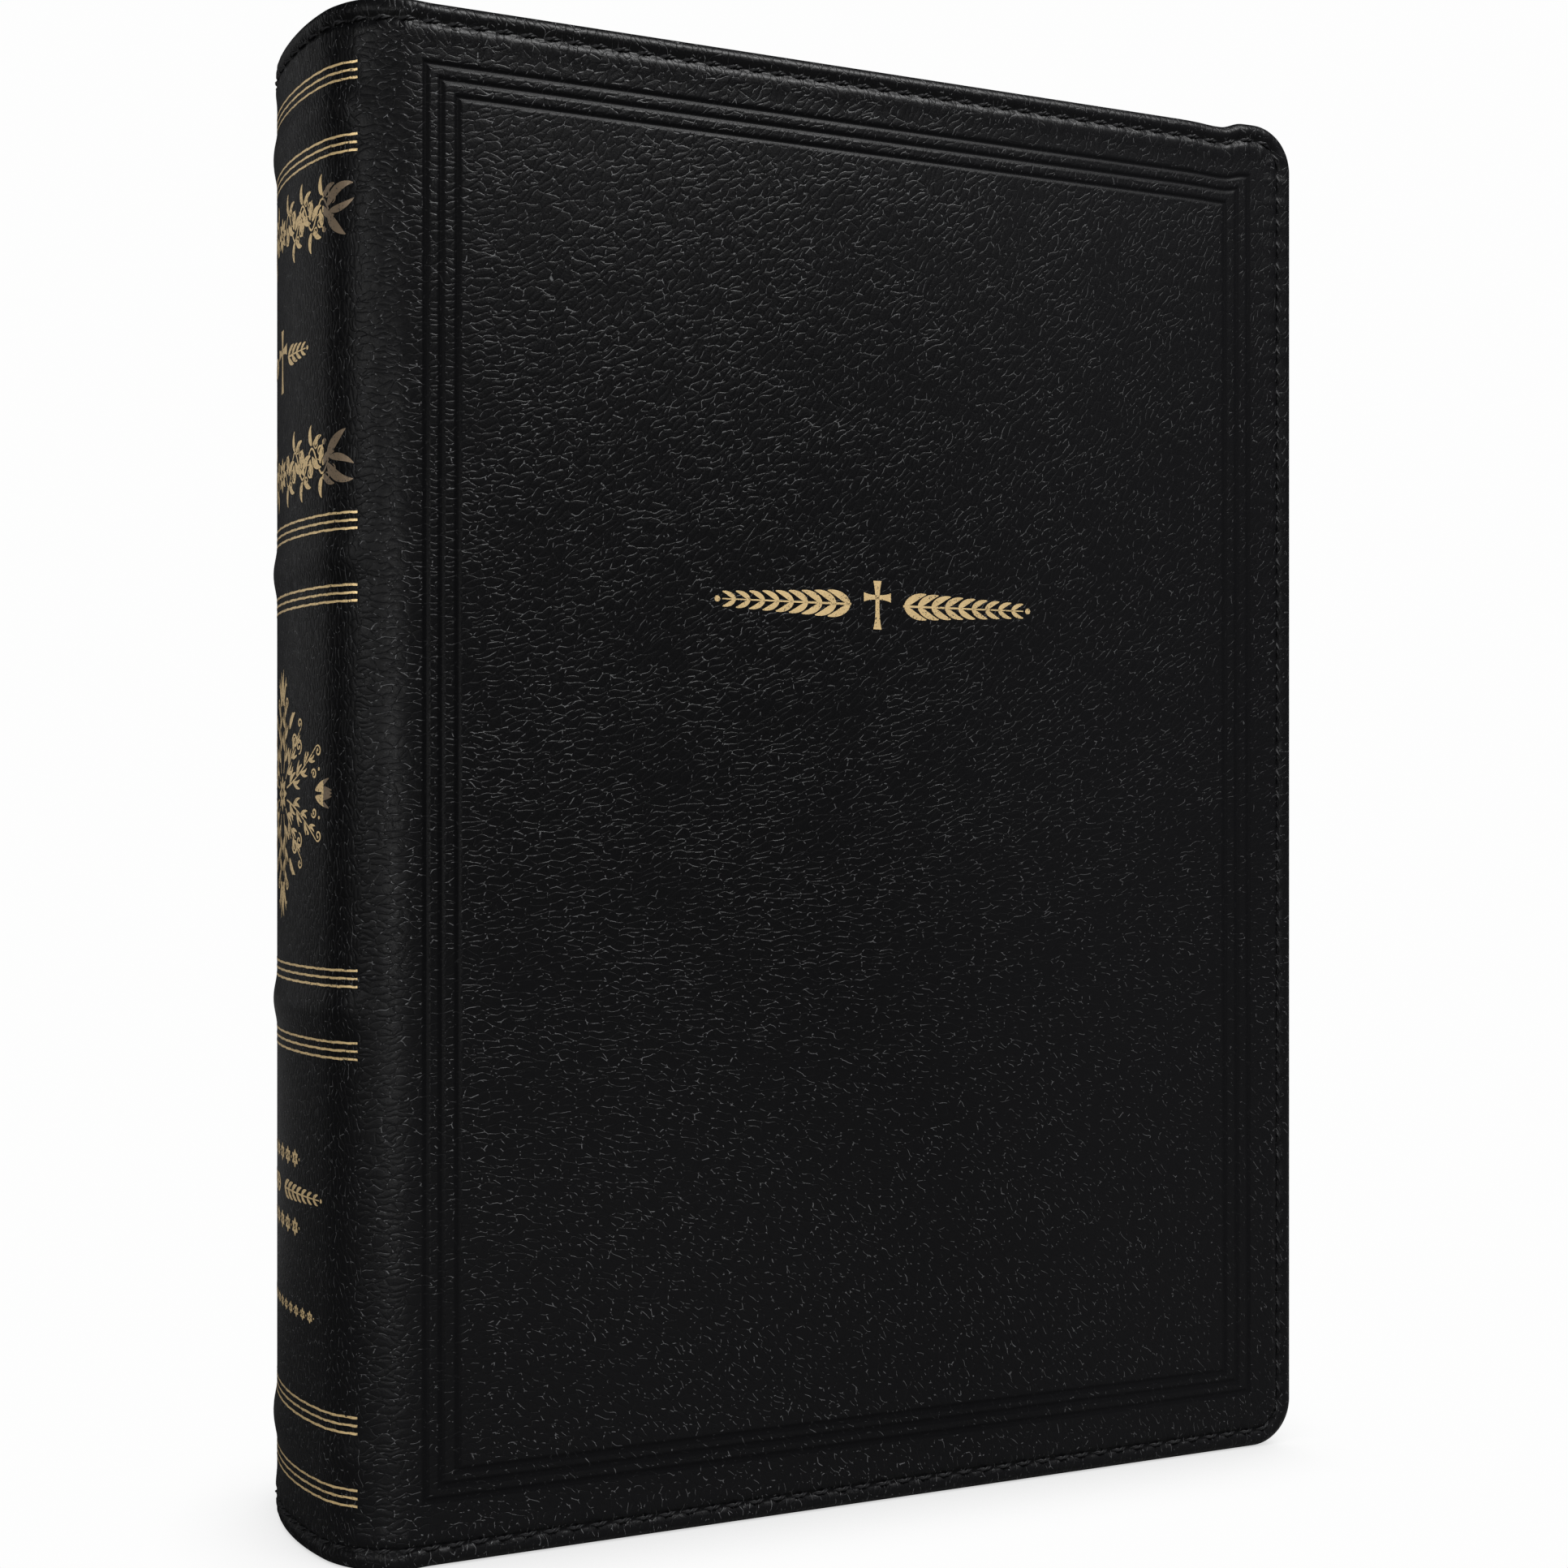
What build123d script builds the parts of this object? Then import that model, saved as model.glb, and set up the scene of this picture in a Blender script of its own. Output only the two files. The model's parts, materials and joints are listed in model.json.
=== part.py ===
"""A leather-bound bible: limp case, raised-band spine and a text block that opens in the middle.

The book stands on its tail edge. +Z runs from tail to head, +X from the spine to the fore-edge,
and the front cover faces -Y. The origin is the centre of the bounding box's bottom face.
"""
from build123d import *
from math import atan2, cos, degrees, radians, sin, sqrt
import os

os.makedirs("parts", exist_ok=True)

# Driving dimensions, in millimetres
HEIGHT = 248.0
THICKNESS = 56.0
PANEL_WIDTH = 167.5
SHOULDER_RADIUS = 14.7
SPINE_RADIUS = 57.0
BAND_RISE = 1.3
BAND_HEIGHTS = (17.2, 87.7, 160.1, 231.2)
BAND_WIDTH = 8.0
CORNER_RADIUS = 8.3

# The case: leather, padding, board, liner and stitching
LEATHER = 1.1
SPINE_LEATHER = 1.3
JOINT_LEATHER = 1.6
INLAY = 0.8
COVER_THICKNESS = 2.95
PADDING = 0.7
BOARD = 0.5
LINER = 0.4
TURN_IN = 14.0
WRAP = 1.5
STITCH_INSET = 2.8
STITCH_WIDTH = 0.8
STITCH_DEPTH = 0.35
FRAME_INSETS = (10.2, 12.6, 14.9)
FRAME_HINGE_SIDE = (-0.7, 1.8, 4.5)
GROOVE_WIDTH = 0.8
GROOVE_DEPTH = 0.4
CORD_DEPTH = 0.9
CORD_WIDTH = 5.0

# The text block
SQUARE = 4.0
SECTIONS_PER_HALF = 3
HALF_BLOCK = 24.6
CENTRE_GAP = 0.15
FLYLEAF = 0.2
FLYLEAF_FOLD = 10.0
HEADBAND_RISE = 2.6
HEADBAND_WIDTH = 2.4
RIBBON = (6.0, 0.14, 210.0)
GAP = 0.05

# Angles round the spine, measured from -X towards either cover
FOLD_TURN = 49.0
CORD_TURN = 40.0

# Places worked out from the dimensions above
SHOULDER_Y = THICKNESS / 2 - SHOULDER_RADIUS
SPINE_CENTRE = sqrt((SPINE_RADIUS - SHOULDER_RADIUS) ** 2 - SHOULDER_Y**2)
JUNCTION_TURN = degrees(atan2(SHOULDER_Y, SPINE_CENTRE))
SPINE_BULGE = SPINE_RADIUS - SPINE_CENTRE
SHOULDER_X = -(PANEL_WIDTH - SPINE_BULGE - BAND_RISE) / 2
FORE_EDGE = SHOULDER_X + PANEL_WIDTH
HINGE_X = SHOULDER_X + 1.0
COVER_FACE = -THICKNESS / 2
COVER_BACK = COVER_FACE + COVER_THICKNESS
PANEL_START = HINGE_X + GAP
GUTTER_X = SHOULDER_X - 6.9
BACK_CORNER_X = SHOULDER_X + 2.0
LINING_X = SHOULDER_X - 12.9
LINING = 0.5
BLOCK_FORE_EDGE = FORE_EDGE - 5.5
FORE_EDGE_HOLLOW = 4.0
BLOCK_HEIGHT = HEIGHT - 2 * SQUARE


def shoulder_point(depth, turn, side):
    """Point on the shoulder arc, depth under the surface; side is -1 for front and 1 for back."""
    reach = SHOULDER_RADIUS - depth
    return (SHOULDER_X - reach * cos(radians(turn)), side * (SHOULDER_Y + reach * sin(radians(turn))))


def spine_curve(depth, end_turn):
    """Outline of the spine at a depth under its surface, from the front side round to the back."""
    reach = SHOULDER_RADIUS - depth
    sweep = end_turn - JUNCTION_TURN
    CenterArc((SHOULDER_X, -SHOULDER_Y), reach, 180 + end_turn, -sweep)
    wide_centre = (SHOULDER_X + SPINE_CENTRE, 0)
    CenterArc(wide_centre, SPINE_RADIUS - depth, 180 + JUNCTION_TURN, -2 * JUNCTION_TURN)
    CenterArc((SHOULDER_X, SHOULDER_Y), reach, 180 - JUNCTION_TURN, -sweep)


def spine_wall(outer, inner, end_turn):
    """Plan of the spine wall between two depths under its surface."""
    with BuildSketch() as wall:
        with BuildLine():
            spine_curve(outer, end_turn)
            spine_curve(inner, end_turn)
            for side in (-1, 1):
                Line(shoulder_point(outer, end_turn, side), shoulder_point(inner, end_turn, side))
        make_face()
    return wall.sketch


def joint_wall(outer, inner):
    """Plan of the hinge leather between the spine and the front cover."""
    turn = FOLD_TURN + degrees(2 * GAP / SHOULDER_RADIUS)
    end = HINGE_X - GAP
    with BuildSketch() as wall:
        with BuildLine():
            for depth in (outer, inner):
                reach = SHOULDER_RADIUS - depth
                CenterArc((SHOULDER_X, -SHOULDER_Y), reach, 180 + turn, 90 - turn)
                Line((SHOULDER_X, COVER_FACE + depth), (end, COVER_FACE + depth))
            Line((end, COVER_FACE + outer), (end, COVER_FACE + inner))
            Line(shoulder_point(outer, turn, -1), shoulder_point(inner, turn, -1))
        make_face()
    return wall.sketch


def panel(inset, hinge_side, corner):
    """Outline of the front cover, inset from its free edges and hinge_side from its hinge."""
    width = FORE_EDGE - inset - PANEL_START - hinge_side
    with BuildSketch() as outline:
        with Locations((FORE_EDGE - inset - width / 2, HEIGHT / 2)):
            Rectangle(width, HEIGHT - 2 * inset)
        fillet(outline.vertices().group_by(Axis.X)[-1], corner)
    return outline.sketch


def ring(inset, hinge_side, corner, width):
    """Narrow band that follows the cover's outline at an inset."""
    with BuildSketch() as band:
        add(panel(inset, hinge_side, corner))
        add(panel(inset + width, hinge_side + width, corner - width), mode=Mode.SUBTRACT)
    return band.sketch


def back_crescent(outer_x, inner_x, half_width):
    """Plan of a sliver between two arcs that meet beside the block's rounded corners."""
    with BuildSketch() as sliver:
        with BuildLine():
            for middle in (outer_x, inner_x):
                ends = (BACK_CORNER_X - 1.5, half_width)
                ThreePointArc((ends[0], -ends[1]), (middle, 0), ends)
        make_face()
    return sliver.sketch


def block_plan():
    """Plan of the text block: rounded back, straight sides and hollow fore-edge."""
    hollow = (BLOCK_FORE_EDGE - FORE_EDGE_HOLLOW, 0)
    with BuildSketch() as plan:
        with BuildLine():
            ThreePointArc((BACK_CORNER_X, -HALF_BLOCK), (GUTTER_X, 0), (BACK_CORNER_X, HALF_BLOCK))
            ThreePointArc((BLOCK_FORE_EDGE, -HALF_BLOCK), hollow, (BLOCK_FORE_EDGE, HALF_BLOCK))
            for side in (-HALF_BLOCK, HALF_BLOCK):
                Line((BACK_CORNER_X, side), (BLOCK_FORE_EDGE, side))
        make_face()
    return plan.sketch


def save(builder, name):
    """Label a finished sub-part and write its STEP file."""
    builder.part.label = name
    export_step(builder.part, f"parts/{name}.step")


# Front cover leather: outer skin, turned-in edges, a pocket for the fillings, tooled frames
with BuildPart() as front_cover_leather:
    with BuildSketch(Plane.XZ.offset(-COVER_FACE)):
        add(panel(0, 0, CORNER_RADIUS))
    extrude(amount=-COVER_THICKNESS)
    with BuildSketch(Plane.XZ.offset(-COVER_FACE - LEATHER)):
        add(panel(WRAP, WRAP, CORNER_RADIUS - WRAP))
    extrude(amount=-(PADDING + BOARD + 2 * GAP), mode=Mode.SUBTRACT)
    with BuildSketch(Plane.XZ.offset(-COVER_FACE - LEATHER)):
        add(panel(TURN_IN, TURN_IN, 1.0))
    extrude(amount=-COVER_THICKNESS, mode=Mode.SUBTRACT)
    with BuildSketch(Plane.XZ.offset(-COVER_FACE)):
        for inset, hinge_side in zip(FRAME_INSETS, FRAME_HINGE_SIDE):
            add(ring(inset, max(hinge_side, GAP), 1.0, GROOVE_WIDTH))
        add(ring(STITCH_INSET, -1.0, CORNER_RADIUS - STITCH_INSET, STITCH_WIDTH))
    extrude(amount=-GROOVE_DEPTH, mode=Mode.SUBTRACT)
save(front_cover_leather, "front_cover_leather")

# Soft padding that swells the front panel a little
with BuildPart() as front_cover_padding:
    with BuildSketch(Plane.XZ.offset(-COVER_FACE - LEATHER - GAP)):
        add(panel(WRAP + GAP, WRAP + GAP, CORNER_RADIUS - WRAP))
    extrude(amount=-PADDING + GAP)
save(front_cover_padding, "front_cover_padding")

# Thin flexible board behind the padding
with BuildPart() as front_cover_board:
    with BuildSketch(Plane.XZ.offset(-COVER_FACE - LEATHER - PADDING - GAP)):
        add(panel(WRAP + GAP, WRAP + GAP, CORNER_RADIUS - WRAP))
    extrude(amount=-BOARD)
save(front_cover_board, "front_cover_board")

# Liner inside the cover, between the turned-in edges
with BuildPart() as front_cover_liner:
    with BuildSketch(Plane.XZ.offset(-COVER_BACK)):
        add(panel(TURN_IN + GAP, TURN_IN + GAP, 1.0))
    extrude(amount=LINER)
save(front_cover_liner, "front_cover_liner")

# Thread round the three free edges of the front cover
with BuildPart() as front_cover_stitching:
    with BuildSketch(Plane.XZ.offset(-COVER_FACE - GAP)):
        inset = STITCH_INSET + GAP
        add(ring(inset, -1.0, CORNER_RADIUS - inset, STITCH_WIDTH - 2 * GAP))
        add(panel(GAP, GAP, CORNER_RADIUS), mode=Mode.INTERSECT)
    extrude(amount=-STITCH_DEPTH + GAP)
save(front_cover_stitching, "front_cover_stitching")

# Hinge leather that rounds the shoulder between the spine and the front cover
stitch_heights = (STITCH_INSET + STITCH_WIDTH / 2, HEIGHT - STITCH_INSET - STITCH_WIDTH / 2)
with BuildPart() as front_joint_leather:
    with BuildSketch():
        add(joint_wall(0, JOINT_LEATHER))
    extrude(amount=HEIGHT)
    for level in stitch_heights:
        with BuildSketch(Plane.XY.offset(level - STITCH_WIDTH / 2)):
            add(joint_wall(-GAP, GROOVE_DEPTH))
        extrude(amount=STITCH_WIDTH, mode=Mode.SUBTRACT)
save(front_joint_leather, "front_joint_leather")

# Thread over the hinge leather at head and tail
with BuildPart() as front_joint_stitching:
    for level in stitch_heights:
        with BuildSketch(Plane.XY.offset(level - STITCH_WIDTH / 2 + GAP)):
            add(joint_wall(GAP, STITCH_DEPTH))
        extrude(amount=STITCH_WIDTH - 2 * GAP)
save(front_joint_stitching, "front_joint_stitching")

# Spine leather with four raised bands; channels behind the bands hold the cords
with BuildPart() as spine_leather:
    with BuildSketch():
        add(spine_wall(0, SPINE_LEATHER, FOLD_TURN))
    extrude(amount=HEIGHT)
    for level in BAND_HEIGHTS:
        with BuildSketch(Plane.XY.offset(level - BAND_WIDTH / 2)):
            add(spine_wall(-BAND_RISE, SPINE_LEATHER, FOLD_TURN - 2.0))
        extrude(amount=BAND_WIDTH)
    outer_faces = spine_leather.faces().filter_by(GeomType.CYLINDER)
    ridge_tops = [face for face in outer_faces if abs(face.radius - SPINE_RADIUS - BAND_RISE) < 0.01]
    fillet([edge for face in ridge_tops for edge in face.edges().filter_by(GeomType.CIRCLE)], 1.2)
    for level in BAND_HEIGHTS:
        with BuildSketch(Plane.XY.offset(level - CORD_WIDTH / 2)):
            add(spine_wall(SPINE_LEATHER - CORD_DEPTH, SPINE_LEATHER, CORD_TURN))
        extrude(amount=CORD_WIDTH, mode=Mode.SUBTRACT)
    for level in stitch_heights:
        with BuildSketch(Plane.XY.offset(level - STITCH_WIDTH / 2)):
            add(spine_wall(-GAP, GROOVE_DEPTH, FOLD_TURN))
        extrude(amount=STITCH_WIDTH, mode=Mode.SUBTRACT)
save(spine_leather, "spine_leather")

# Four cords that raise the bands
with BuildPart() as raised_band_cords:
    for level in BAND_HEIGHTS:
        with BuildSketch(Plane.XY.offset(level - CORD_WIDTH / 2 + GAP)):
            outer = SPINE_LEATHER - CORD_DEPTH + GAP
            add(spine_wall(outer, SPINE_LEATHER - GAP, CORD_TURN - 0.5))
        extrude(amount=CORD_WIDTH - 2 * GAP)
save(raised_band_cords, "raised_band_cords")

# Card inlay that stiffens the spine
with BuildPart() as spine_inlay:
    with BuildSketch(Plane.XY.offset(SQUARE)):
        add(spine_wall(SPINE_LEATHER + GAP, SPINE_LEATHER + GAP + INLAY, CORD_TURN - 8.0))
    extrude(amount=BLOCK_HEIGHT)
save(spine_inlay, "spine_inlay")

# Thread across the spine at head and tail
with BuildPart() as spine_stitching:
    for level in stitch_heights:
        with BuildSketch(Plane.XY.offset(level - STITCH_WIDTH / 2 + GAP)):
            add(spine_wall(GAP, STITCH_DEPTH, FOLD_TURN - 0.3))
        extrude(amount=STITCH_WIDTH - 2 * GAP)
save(spine_stitching, "spine_stitching")

# Glued back of the text block, where the section folds are sewn and rounded
with BuildPart() as block_back:
    with BuildSketch(Plane.XY.offset(SQUARE)):
        add(back_crescent(LINING_X + LINING + GAP, GUTTER_X - GAP, HALF_BLOCK - 1.5))
    extrude(amount=BLOCK_HEIGHT)
save(block_back, "block_back")

# Cloth and paper lining glued over the rounded back
with BuildPart() as block_lining:
    with BuildSketch(Plane.XY.offset(SQUARE + 6.0)):
        add(back_crescent(LINING_X, LINING_X + LINING, HALF_BLOCK - 1.0))
    extrude(amount=BLOCK_HEIGHT - 12.0)
save(block_lining, "block_lining")

# Woven bands that finish the back at the head and at the tail
for name, level in (("headband", HEIGHT - SQUARE + GAP), ("tailband", SQUARE - GAP - HEADBAND_RISE)):
    with BuildPart() as end_band:
        with BuildSketch(Plane.XY.offset(level)):
            middle = LINING_X + LINING + GAP
            add(back_crescent(middle, middle + HEADBAND_WIDTH, HALF_BLOCK - 1.5))
        extrude(amount=HEADBAND_RISE)
    save(end_band, name)

# Six sections of leaves, numbered from the front cover to the back cover
section_thickness = (HALF_BLOCK - CENTRE_GAP) / SECTIONS_PER_HALF
for number in range(2 * SECTIONS_PER_HALF):
    from_centre = abs(number - SECTIONS_PER_HALF + 0.5) * section_thickness + CENTRE_GAP
    middle_y = from_centre if number >= SECTIONS_PER_HALF else -from_centre
    with BuildPart() as section:
        with BuildSketch(Plane.XY.offset(SQUARE)):
            add(block_plan())
            with Locations((0, middle_y)):
                Rectangle(2 * PANEL_WIDTH, section_thickness - GAP, mode=Mode.INTERSECT)
        extrude(amount=BLOCK_HEIGHT)
    save(section, f"section_{number + 1}")

# Front flyleaf, tipped to the first section
leaf_length = BLOCK_FORE_EDGE - SHOULDER_X - FLYLEAF_FOLD
with BuildPart() as front_flyleaf:
    with BuildSketch(Plane.XZ.offset(HALF_BLOCK + GAP)):
        with Locations((BLOCK_FORE_EDGE - leaf_length / 2, HEIGHT / 2)):
            Rectangle(leaf_length, BLOCK_HEIGHT)
    extrude(amount=FLYLEAF)
save(front_flyleaf, "front_flyleaf")

# Ribbon marker lying in the middle opening
ribbon_width, ribbon_thickness, ribbon_length = RIBBON
with BuildPart() as ribbon_marker:
    with BuildSketch(Plane.XZ.offset(-ribbon_thickness / 2)):
        with Locations((GUTTER_X + 12.0, HEIGHT - SQUARE - ribbon_length / 2)):
            Rectangle(ribbon_width, ribbon_length)
    extrude(amount=ribbon_thickness)
save(ribbon_marker, "ribbon_marker")

# The back of the case mirrors the front
mirrored = (
    (front_cover_leather, "back_cover_leather"),
    (front_cover_padding, "back_cover_padding"),
    (front_cover_board, "back_cover_board"),
    (front_cover_liner, "back_cover_liner"),
    (front_cover_stitching, "back_cover_stitching"),
    (front_joint_leather, "back_joint_leather"),
    (front_joint_stitching, "back_joint_stitching"),
    (front_flyleaf, "back_flyleaf"),
)
for front, name in mirrored:
    with BuildPart() as back:
        mirror(front.part, about=Plane.XZ)
    save(back, name)
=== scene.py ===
"""Looks of a black leather bible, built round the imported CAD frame.

Leather surfaces are fine sheets over an unrolled plan: s runs along the case from the shoulder's start
(0) to the fore-edge (positive) and round the spine (negative); z runs up. Lengths are in millimetres
until a mesh is made.
"""
import json
import math

import bmesh
import bpy
import numpy as np
from mathutils import Matrix, Vector


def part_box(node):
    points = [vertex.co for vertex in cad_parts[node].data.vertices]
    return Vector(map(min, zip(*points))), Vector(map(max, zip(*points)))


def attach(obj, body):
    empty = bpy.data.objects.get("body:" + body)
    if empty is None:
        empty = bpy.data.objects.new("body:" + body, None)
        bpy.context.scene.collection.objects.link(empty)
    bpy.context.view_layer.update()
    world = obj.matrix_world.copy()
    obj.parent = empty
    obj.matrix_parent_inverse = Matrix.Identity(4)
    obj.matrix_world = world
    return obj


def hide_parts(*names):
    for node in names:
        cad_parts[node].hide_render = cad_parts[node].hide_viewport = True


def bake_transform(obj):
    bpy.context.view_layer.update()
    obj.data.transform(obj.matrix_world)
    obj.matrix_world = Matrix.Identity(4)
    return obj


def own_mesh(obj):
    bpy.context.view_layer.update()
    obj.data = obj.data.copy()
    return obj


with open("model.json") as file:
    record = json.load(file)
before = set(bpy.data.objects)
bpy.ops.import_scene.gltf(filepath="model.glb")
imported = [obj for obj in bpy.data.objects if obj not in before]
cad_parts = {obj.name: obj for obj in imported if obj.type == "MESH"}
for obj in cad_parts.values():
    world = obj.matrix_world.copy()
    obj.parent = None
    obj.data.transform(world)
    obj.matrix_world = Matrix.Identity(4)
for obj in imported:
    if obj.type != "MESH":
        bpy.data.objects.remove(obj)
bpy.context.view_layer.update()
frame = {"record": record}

MM = 0.001
rng = np.random.default_rng(7)


def box_mm(node):
    """Lowest and highest corner of a node, in millimetres."""
    return [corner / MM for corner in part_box(node)]


# Places taken from the frame
joints = {joint["name"]: joint for joint in frame["record"]["behaviour"]["joints"]}
cover_low, cover_high = box_mm("front_cover_leather")
HEIGHT = cover_high.z
FORE_EDGE_X = cover_high.x
FACE_Y = cover_low.y
COVER_THICKNESS = cover_high.y - cover_low.y
SHOULDER_X = joints["front_cover_hinge"]["pos_m"][0] / MM - 1.0
WIDTH = FORE_EDGE_X - SHOULDER_X

# Shape of the case
SHOULDER_RADIUS = 14.7
SPINE_RADIUS = 57.0
CORNER_RADIUS = 8.3
SPINE_THICKNESS = 2.2
JOINT_THICKNESS = 1.7
BAND_HEIGHTS = (17.2, 87.7, 160.1, 231.2)
BAND_RISE = 0.6
BAND_HALF_WIDTH = 4.7

SHOULDER_Y = -FACE_Y - SHOULDER_RADIUS
SPINE_CENTRE = math.sqrt((SPINE_RADIUS - SHOULDER_RADIUS) ** 2 - SHOULDER_Y**2)
JUNCTION = math.atan2(SHOULDER_Y, SPINE_CENTRE)
SHOULDER_ARC = SHOULDER_RADIUS * (math.pi / 2 - JUNCTION)
WIDE_HALF_ARC = SPINE_RADIUS * JUNCTION
HALF_ARC = SHOULDER_ARC + WIDE_HALF_ARC
SEAM = -SHOULDER_RADIUS * math.radians(16)

# Stitching round the edge
STITCH_INSET = 3.2
STITCH_LENGTH = 0.84
END_STITCHES = 49
FORE_EDGE_STITCHES = 58
CORNER_STITCHES = 2
STITCH_PITCH = (WIDTH - CORNER_RADIUS + HALF_ARC) / END_STITCHES

# Tooled frames on the covers: (start, end, bottom, top) of each groove
FRAMES = ((0.3, 157.3, 10.7, 238.0), (2.8, 154.7, 12.9, 235.7), (5.5, 152.0, 14.9, 233.2))
GROOVE_HALF_WIDTH = 0.5
GROOVE_DEPTH = 0.16
UPRIGHT_GRAIN = 84.0


# ---- The case's surface
def smooth(value, start, end):
    """Smooth step from 0 at start to 1 at end."""
    share = np.clip((value - start) / (end - start), 0, 1)
    return share * share * (3 - 2 * share)


def hump(value, centre, width):
    """Bell of height 1."""
    return np.exp(-(((value - centre) / width) ** 2))


def nearer_side(s):
    """The same place on the front half, for a point on the back half of the spine."""
    return np.maximum(s, -2 * HALF_ARC - s)


def outline(s):
    """Plan of the case at s: x, y and the outward normal's x and y."""
    s = np.asarray(s, float)
    far = s < -HALF_ARC
    near = np.where(far, -2 * HALF_ARC - s, s)
    wide = near < -SHOULDER_ARC
    on_shoulder = math.pi / 2 + near / SHOULDER_RADIUS
    turn = np.where(wide, JUNCTION + (near + SHOULDER_ARC) / SPINE_RADIUS, on_shoulder)
    turn = np.minimum(turn, math.pi / 2)
    reach = np.where(wide, SPINE_RADIUS, SHOULDER_RADIUS)
    middle_x = np.where(wide, SHOULDER_X + SPINE_CENTRE, SHOULDER_X)
    middle_y = np.where(wide, 0.0, -SHOULDER_Y)
    x = middle_x - reach * np.cos(turn) + np.maximum(near, 0)
    y = middle_y - reach * np.sin(turn)
    side = np.where(far, -1.0, 1.0)
    return x, y * side, -np.cos(turn), -np.sin(turn) * side


def stitch_phase(s, z):
    """Stitches counted along the stitched line, whole at each needle hole."""
    from_fore_edge = WIDTH - s
    from_end = np.minimum(z, HEIGHT - z)
    along_end = (from_fore_edge - CORNER_RADIUS) / STITCH_PITCH
    fore_pitch = (HEIGHT - 2 * CORNER_RADIUS) / FORE_EDGE_STITCHES
    along_fore = (z - HEIGHT / 2) / fore_pitch
    a = np.clip(CORNER_RADIUS - from_fore_edge, 1e-6, None)
    b = np.clip(CORNER_RADIUS - from_end, 1e-6, None)
    share = np.where(a >= b, b / a / 2, 1 - a / b / 2)
    corner = (from_fore_edge < CORNER_RADIUS) & (from_end < CORNER_RADIUS)
    straight = np.where(from_fore_edge <= from_end, along_fore, along_end)
    return np.where(corner, CORNER_STITCHES * share, straight)


def edge_inset(s, z):
    """Distance from the nearest free edge."""
    return np.minimum(np.minimum(z, HEIGHT - z), WIDTH - s)


def tooled_groove(s, z):
    """Depth of the blind-tooled frames; the tail ends are pressed less."""
    depth = np.zeros_like(s)
    for start, end, bottom, top in FRAMES:
        across = np.abs(s - (start + end) / 2) - (end - start) / 2
        upright = np.abs(z - (bottom + top) / 2) - (top - bottom) / 2
        off = np.abs(np.maximum(across, upright))
        depth = np.maximum(depth, 1 - smooth(off, 0.12, GROOVE_HALF_WIDTH))
    return GROOVE_DEPTH * depth * (0.5 + 0.5 * smooth(z, 12, 40))


def relief(s, z):
    """How far the leather stands out of the plain case, in millimetres."""
    s = nearer_side(s)
    inset = edge_inset(s, z)
    pucker = 0.5 + 0.5 * np.cos(2 * math.pi * stitch_phase(s, z))
    ripple = np.cos(2 * math.pi * stitch_phase(s, z) * 2.0 + 0.7 * np.sin(s / 9 + z / 13))
    valley = (0.34 + 0.34 * pucker) * hump(inset, STITCH_INSET, 0.62)
    bead = 0.16 * hump(inset, 1.7, 0.8) * (1 - 0.6 * pucker)
    puff = 0.2 * hump(inset, 5.0, 1.5) * (1 - 0.55 * pucker)
    drawn = 0.035 * ripple * hump(inset, STITCH_INSET, 3.2)
    height = bead + puff + drawn - valley
    on_panel = smooth(s, -2, 20)
    swell = np.sin(s / 21 + 1.3) * np.sin(z / 27 + 0.4) + 0.6 * np.sin(s / 11 + z / 17)
    height = height + 0.07 * swell * on_panel * smooth(inset, 4, 30) - tooled_groove(s, z)
    over_spine = smooth(-s, 7.0, 13.5)
    for level in BAND_HEIGHTS:
        share = np.clip(np.abs(z - level) / BAND_HALF_WIDTH, 0, 1)
        height = height + BAND_RISE * over_spine * (0.5 + 0.5 * np.cos(math.pi * share)) ** 0.85
    return height * smooth(inset, 0, 1.1)


def edge_shift(s):
    """How far the head edge rises or dips: a low headcap and a flared fore-edge corner."""
    headcap = -1.0 * hump(s, -HALF_ARC, 15.0)
    flare = 0.9 * smooth(s, WIDTH - 15.5, WIDTH - 11.0) - 0.35 * hump(s, WIDTH - 16.5, 4.0)
    return headcap + flare


def thickness(s):
    """Thickness of the case wall."""
    near = nearer_side(s)
    wall = JOINT_THICKNESS + (COVER_THICKNESS - JOINT_THICKNESS) * smooth(near, -3.5, 2.0)
    return wall + (SPINE_THICKNESS - JOINT_THICKNESS) * smooth(-near, 9.0, 16.0)


def surface(s, z, inner=False, lift=0.0):
    """Points of the case's outer or inner face, with its edges rolled over."""
    s, z = np.broadcast_arrays(np.asarray(s, float), np.asarray(z, float))
    wall = thickness(s)
    roll = wall / 2
    gone = np.clip(roll - edge_inset(s, z), 0, None)
    rounding = roll - np.sqrt(np.clip(roll**2 - gone**2, 0, None))
    depth = wall - rounding if inner else rounding - relief(s, z) - lift
    a, b = CORNER_RADIUS - (WIDTH - s), CORNER_RADIUS - np.minimum(z, HEIGHT - z)
    corner = (a > 0) & (b > 0)
    safe_a, safe_b = np.clip(a, 1e-6, None), np.clip(b, 1e-6, None)
    angle = np.where(a >= b, safe_b / safe_a, 2 - safe_a / safe_b) * math.pi / 4
    reach = np.maximum(safe_a, safe_b)
    s_round = np.where(corner, WIDTH - CORNER_RADIUS + reach * np.cos(angle), s)
    rise = np.where(corner, reach * np.sin(angle) - safe_b, 0)
    z_round = z + np.where(z > HEIGHT / 2, rise, -rise)
    z_round = z_round + edge_shift(s) * smooth(z, HEIGHT - 28, HEIGHT)
    x, y, nx, ny = outline(s_round)
    return np.stack([x - nx * depth, y - ny * depth, z_round], -1)


# ---- Mesh helpers
def show(thing):
    bpy.context.collection.objects.link(thing)


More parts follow.
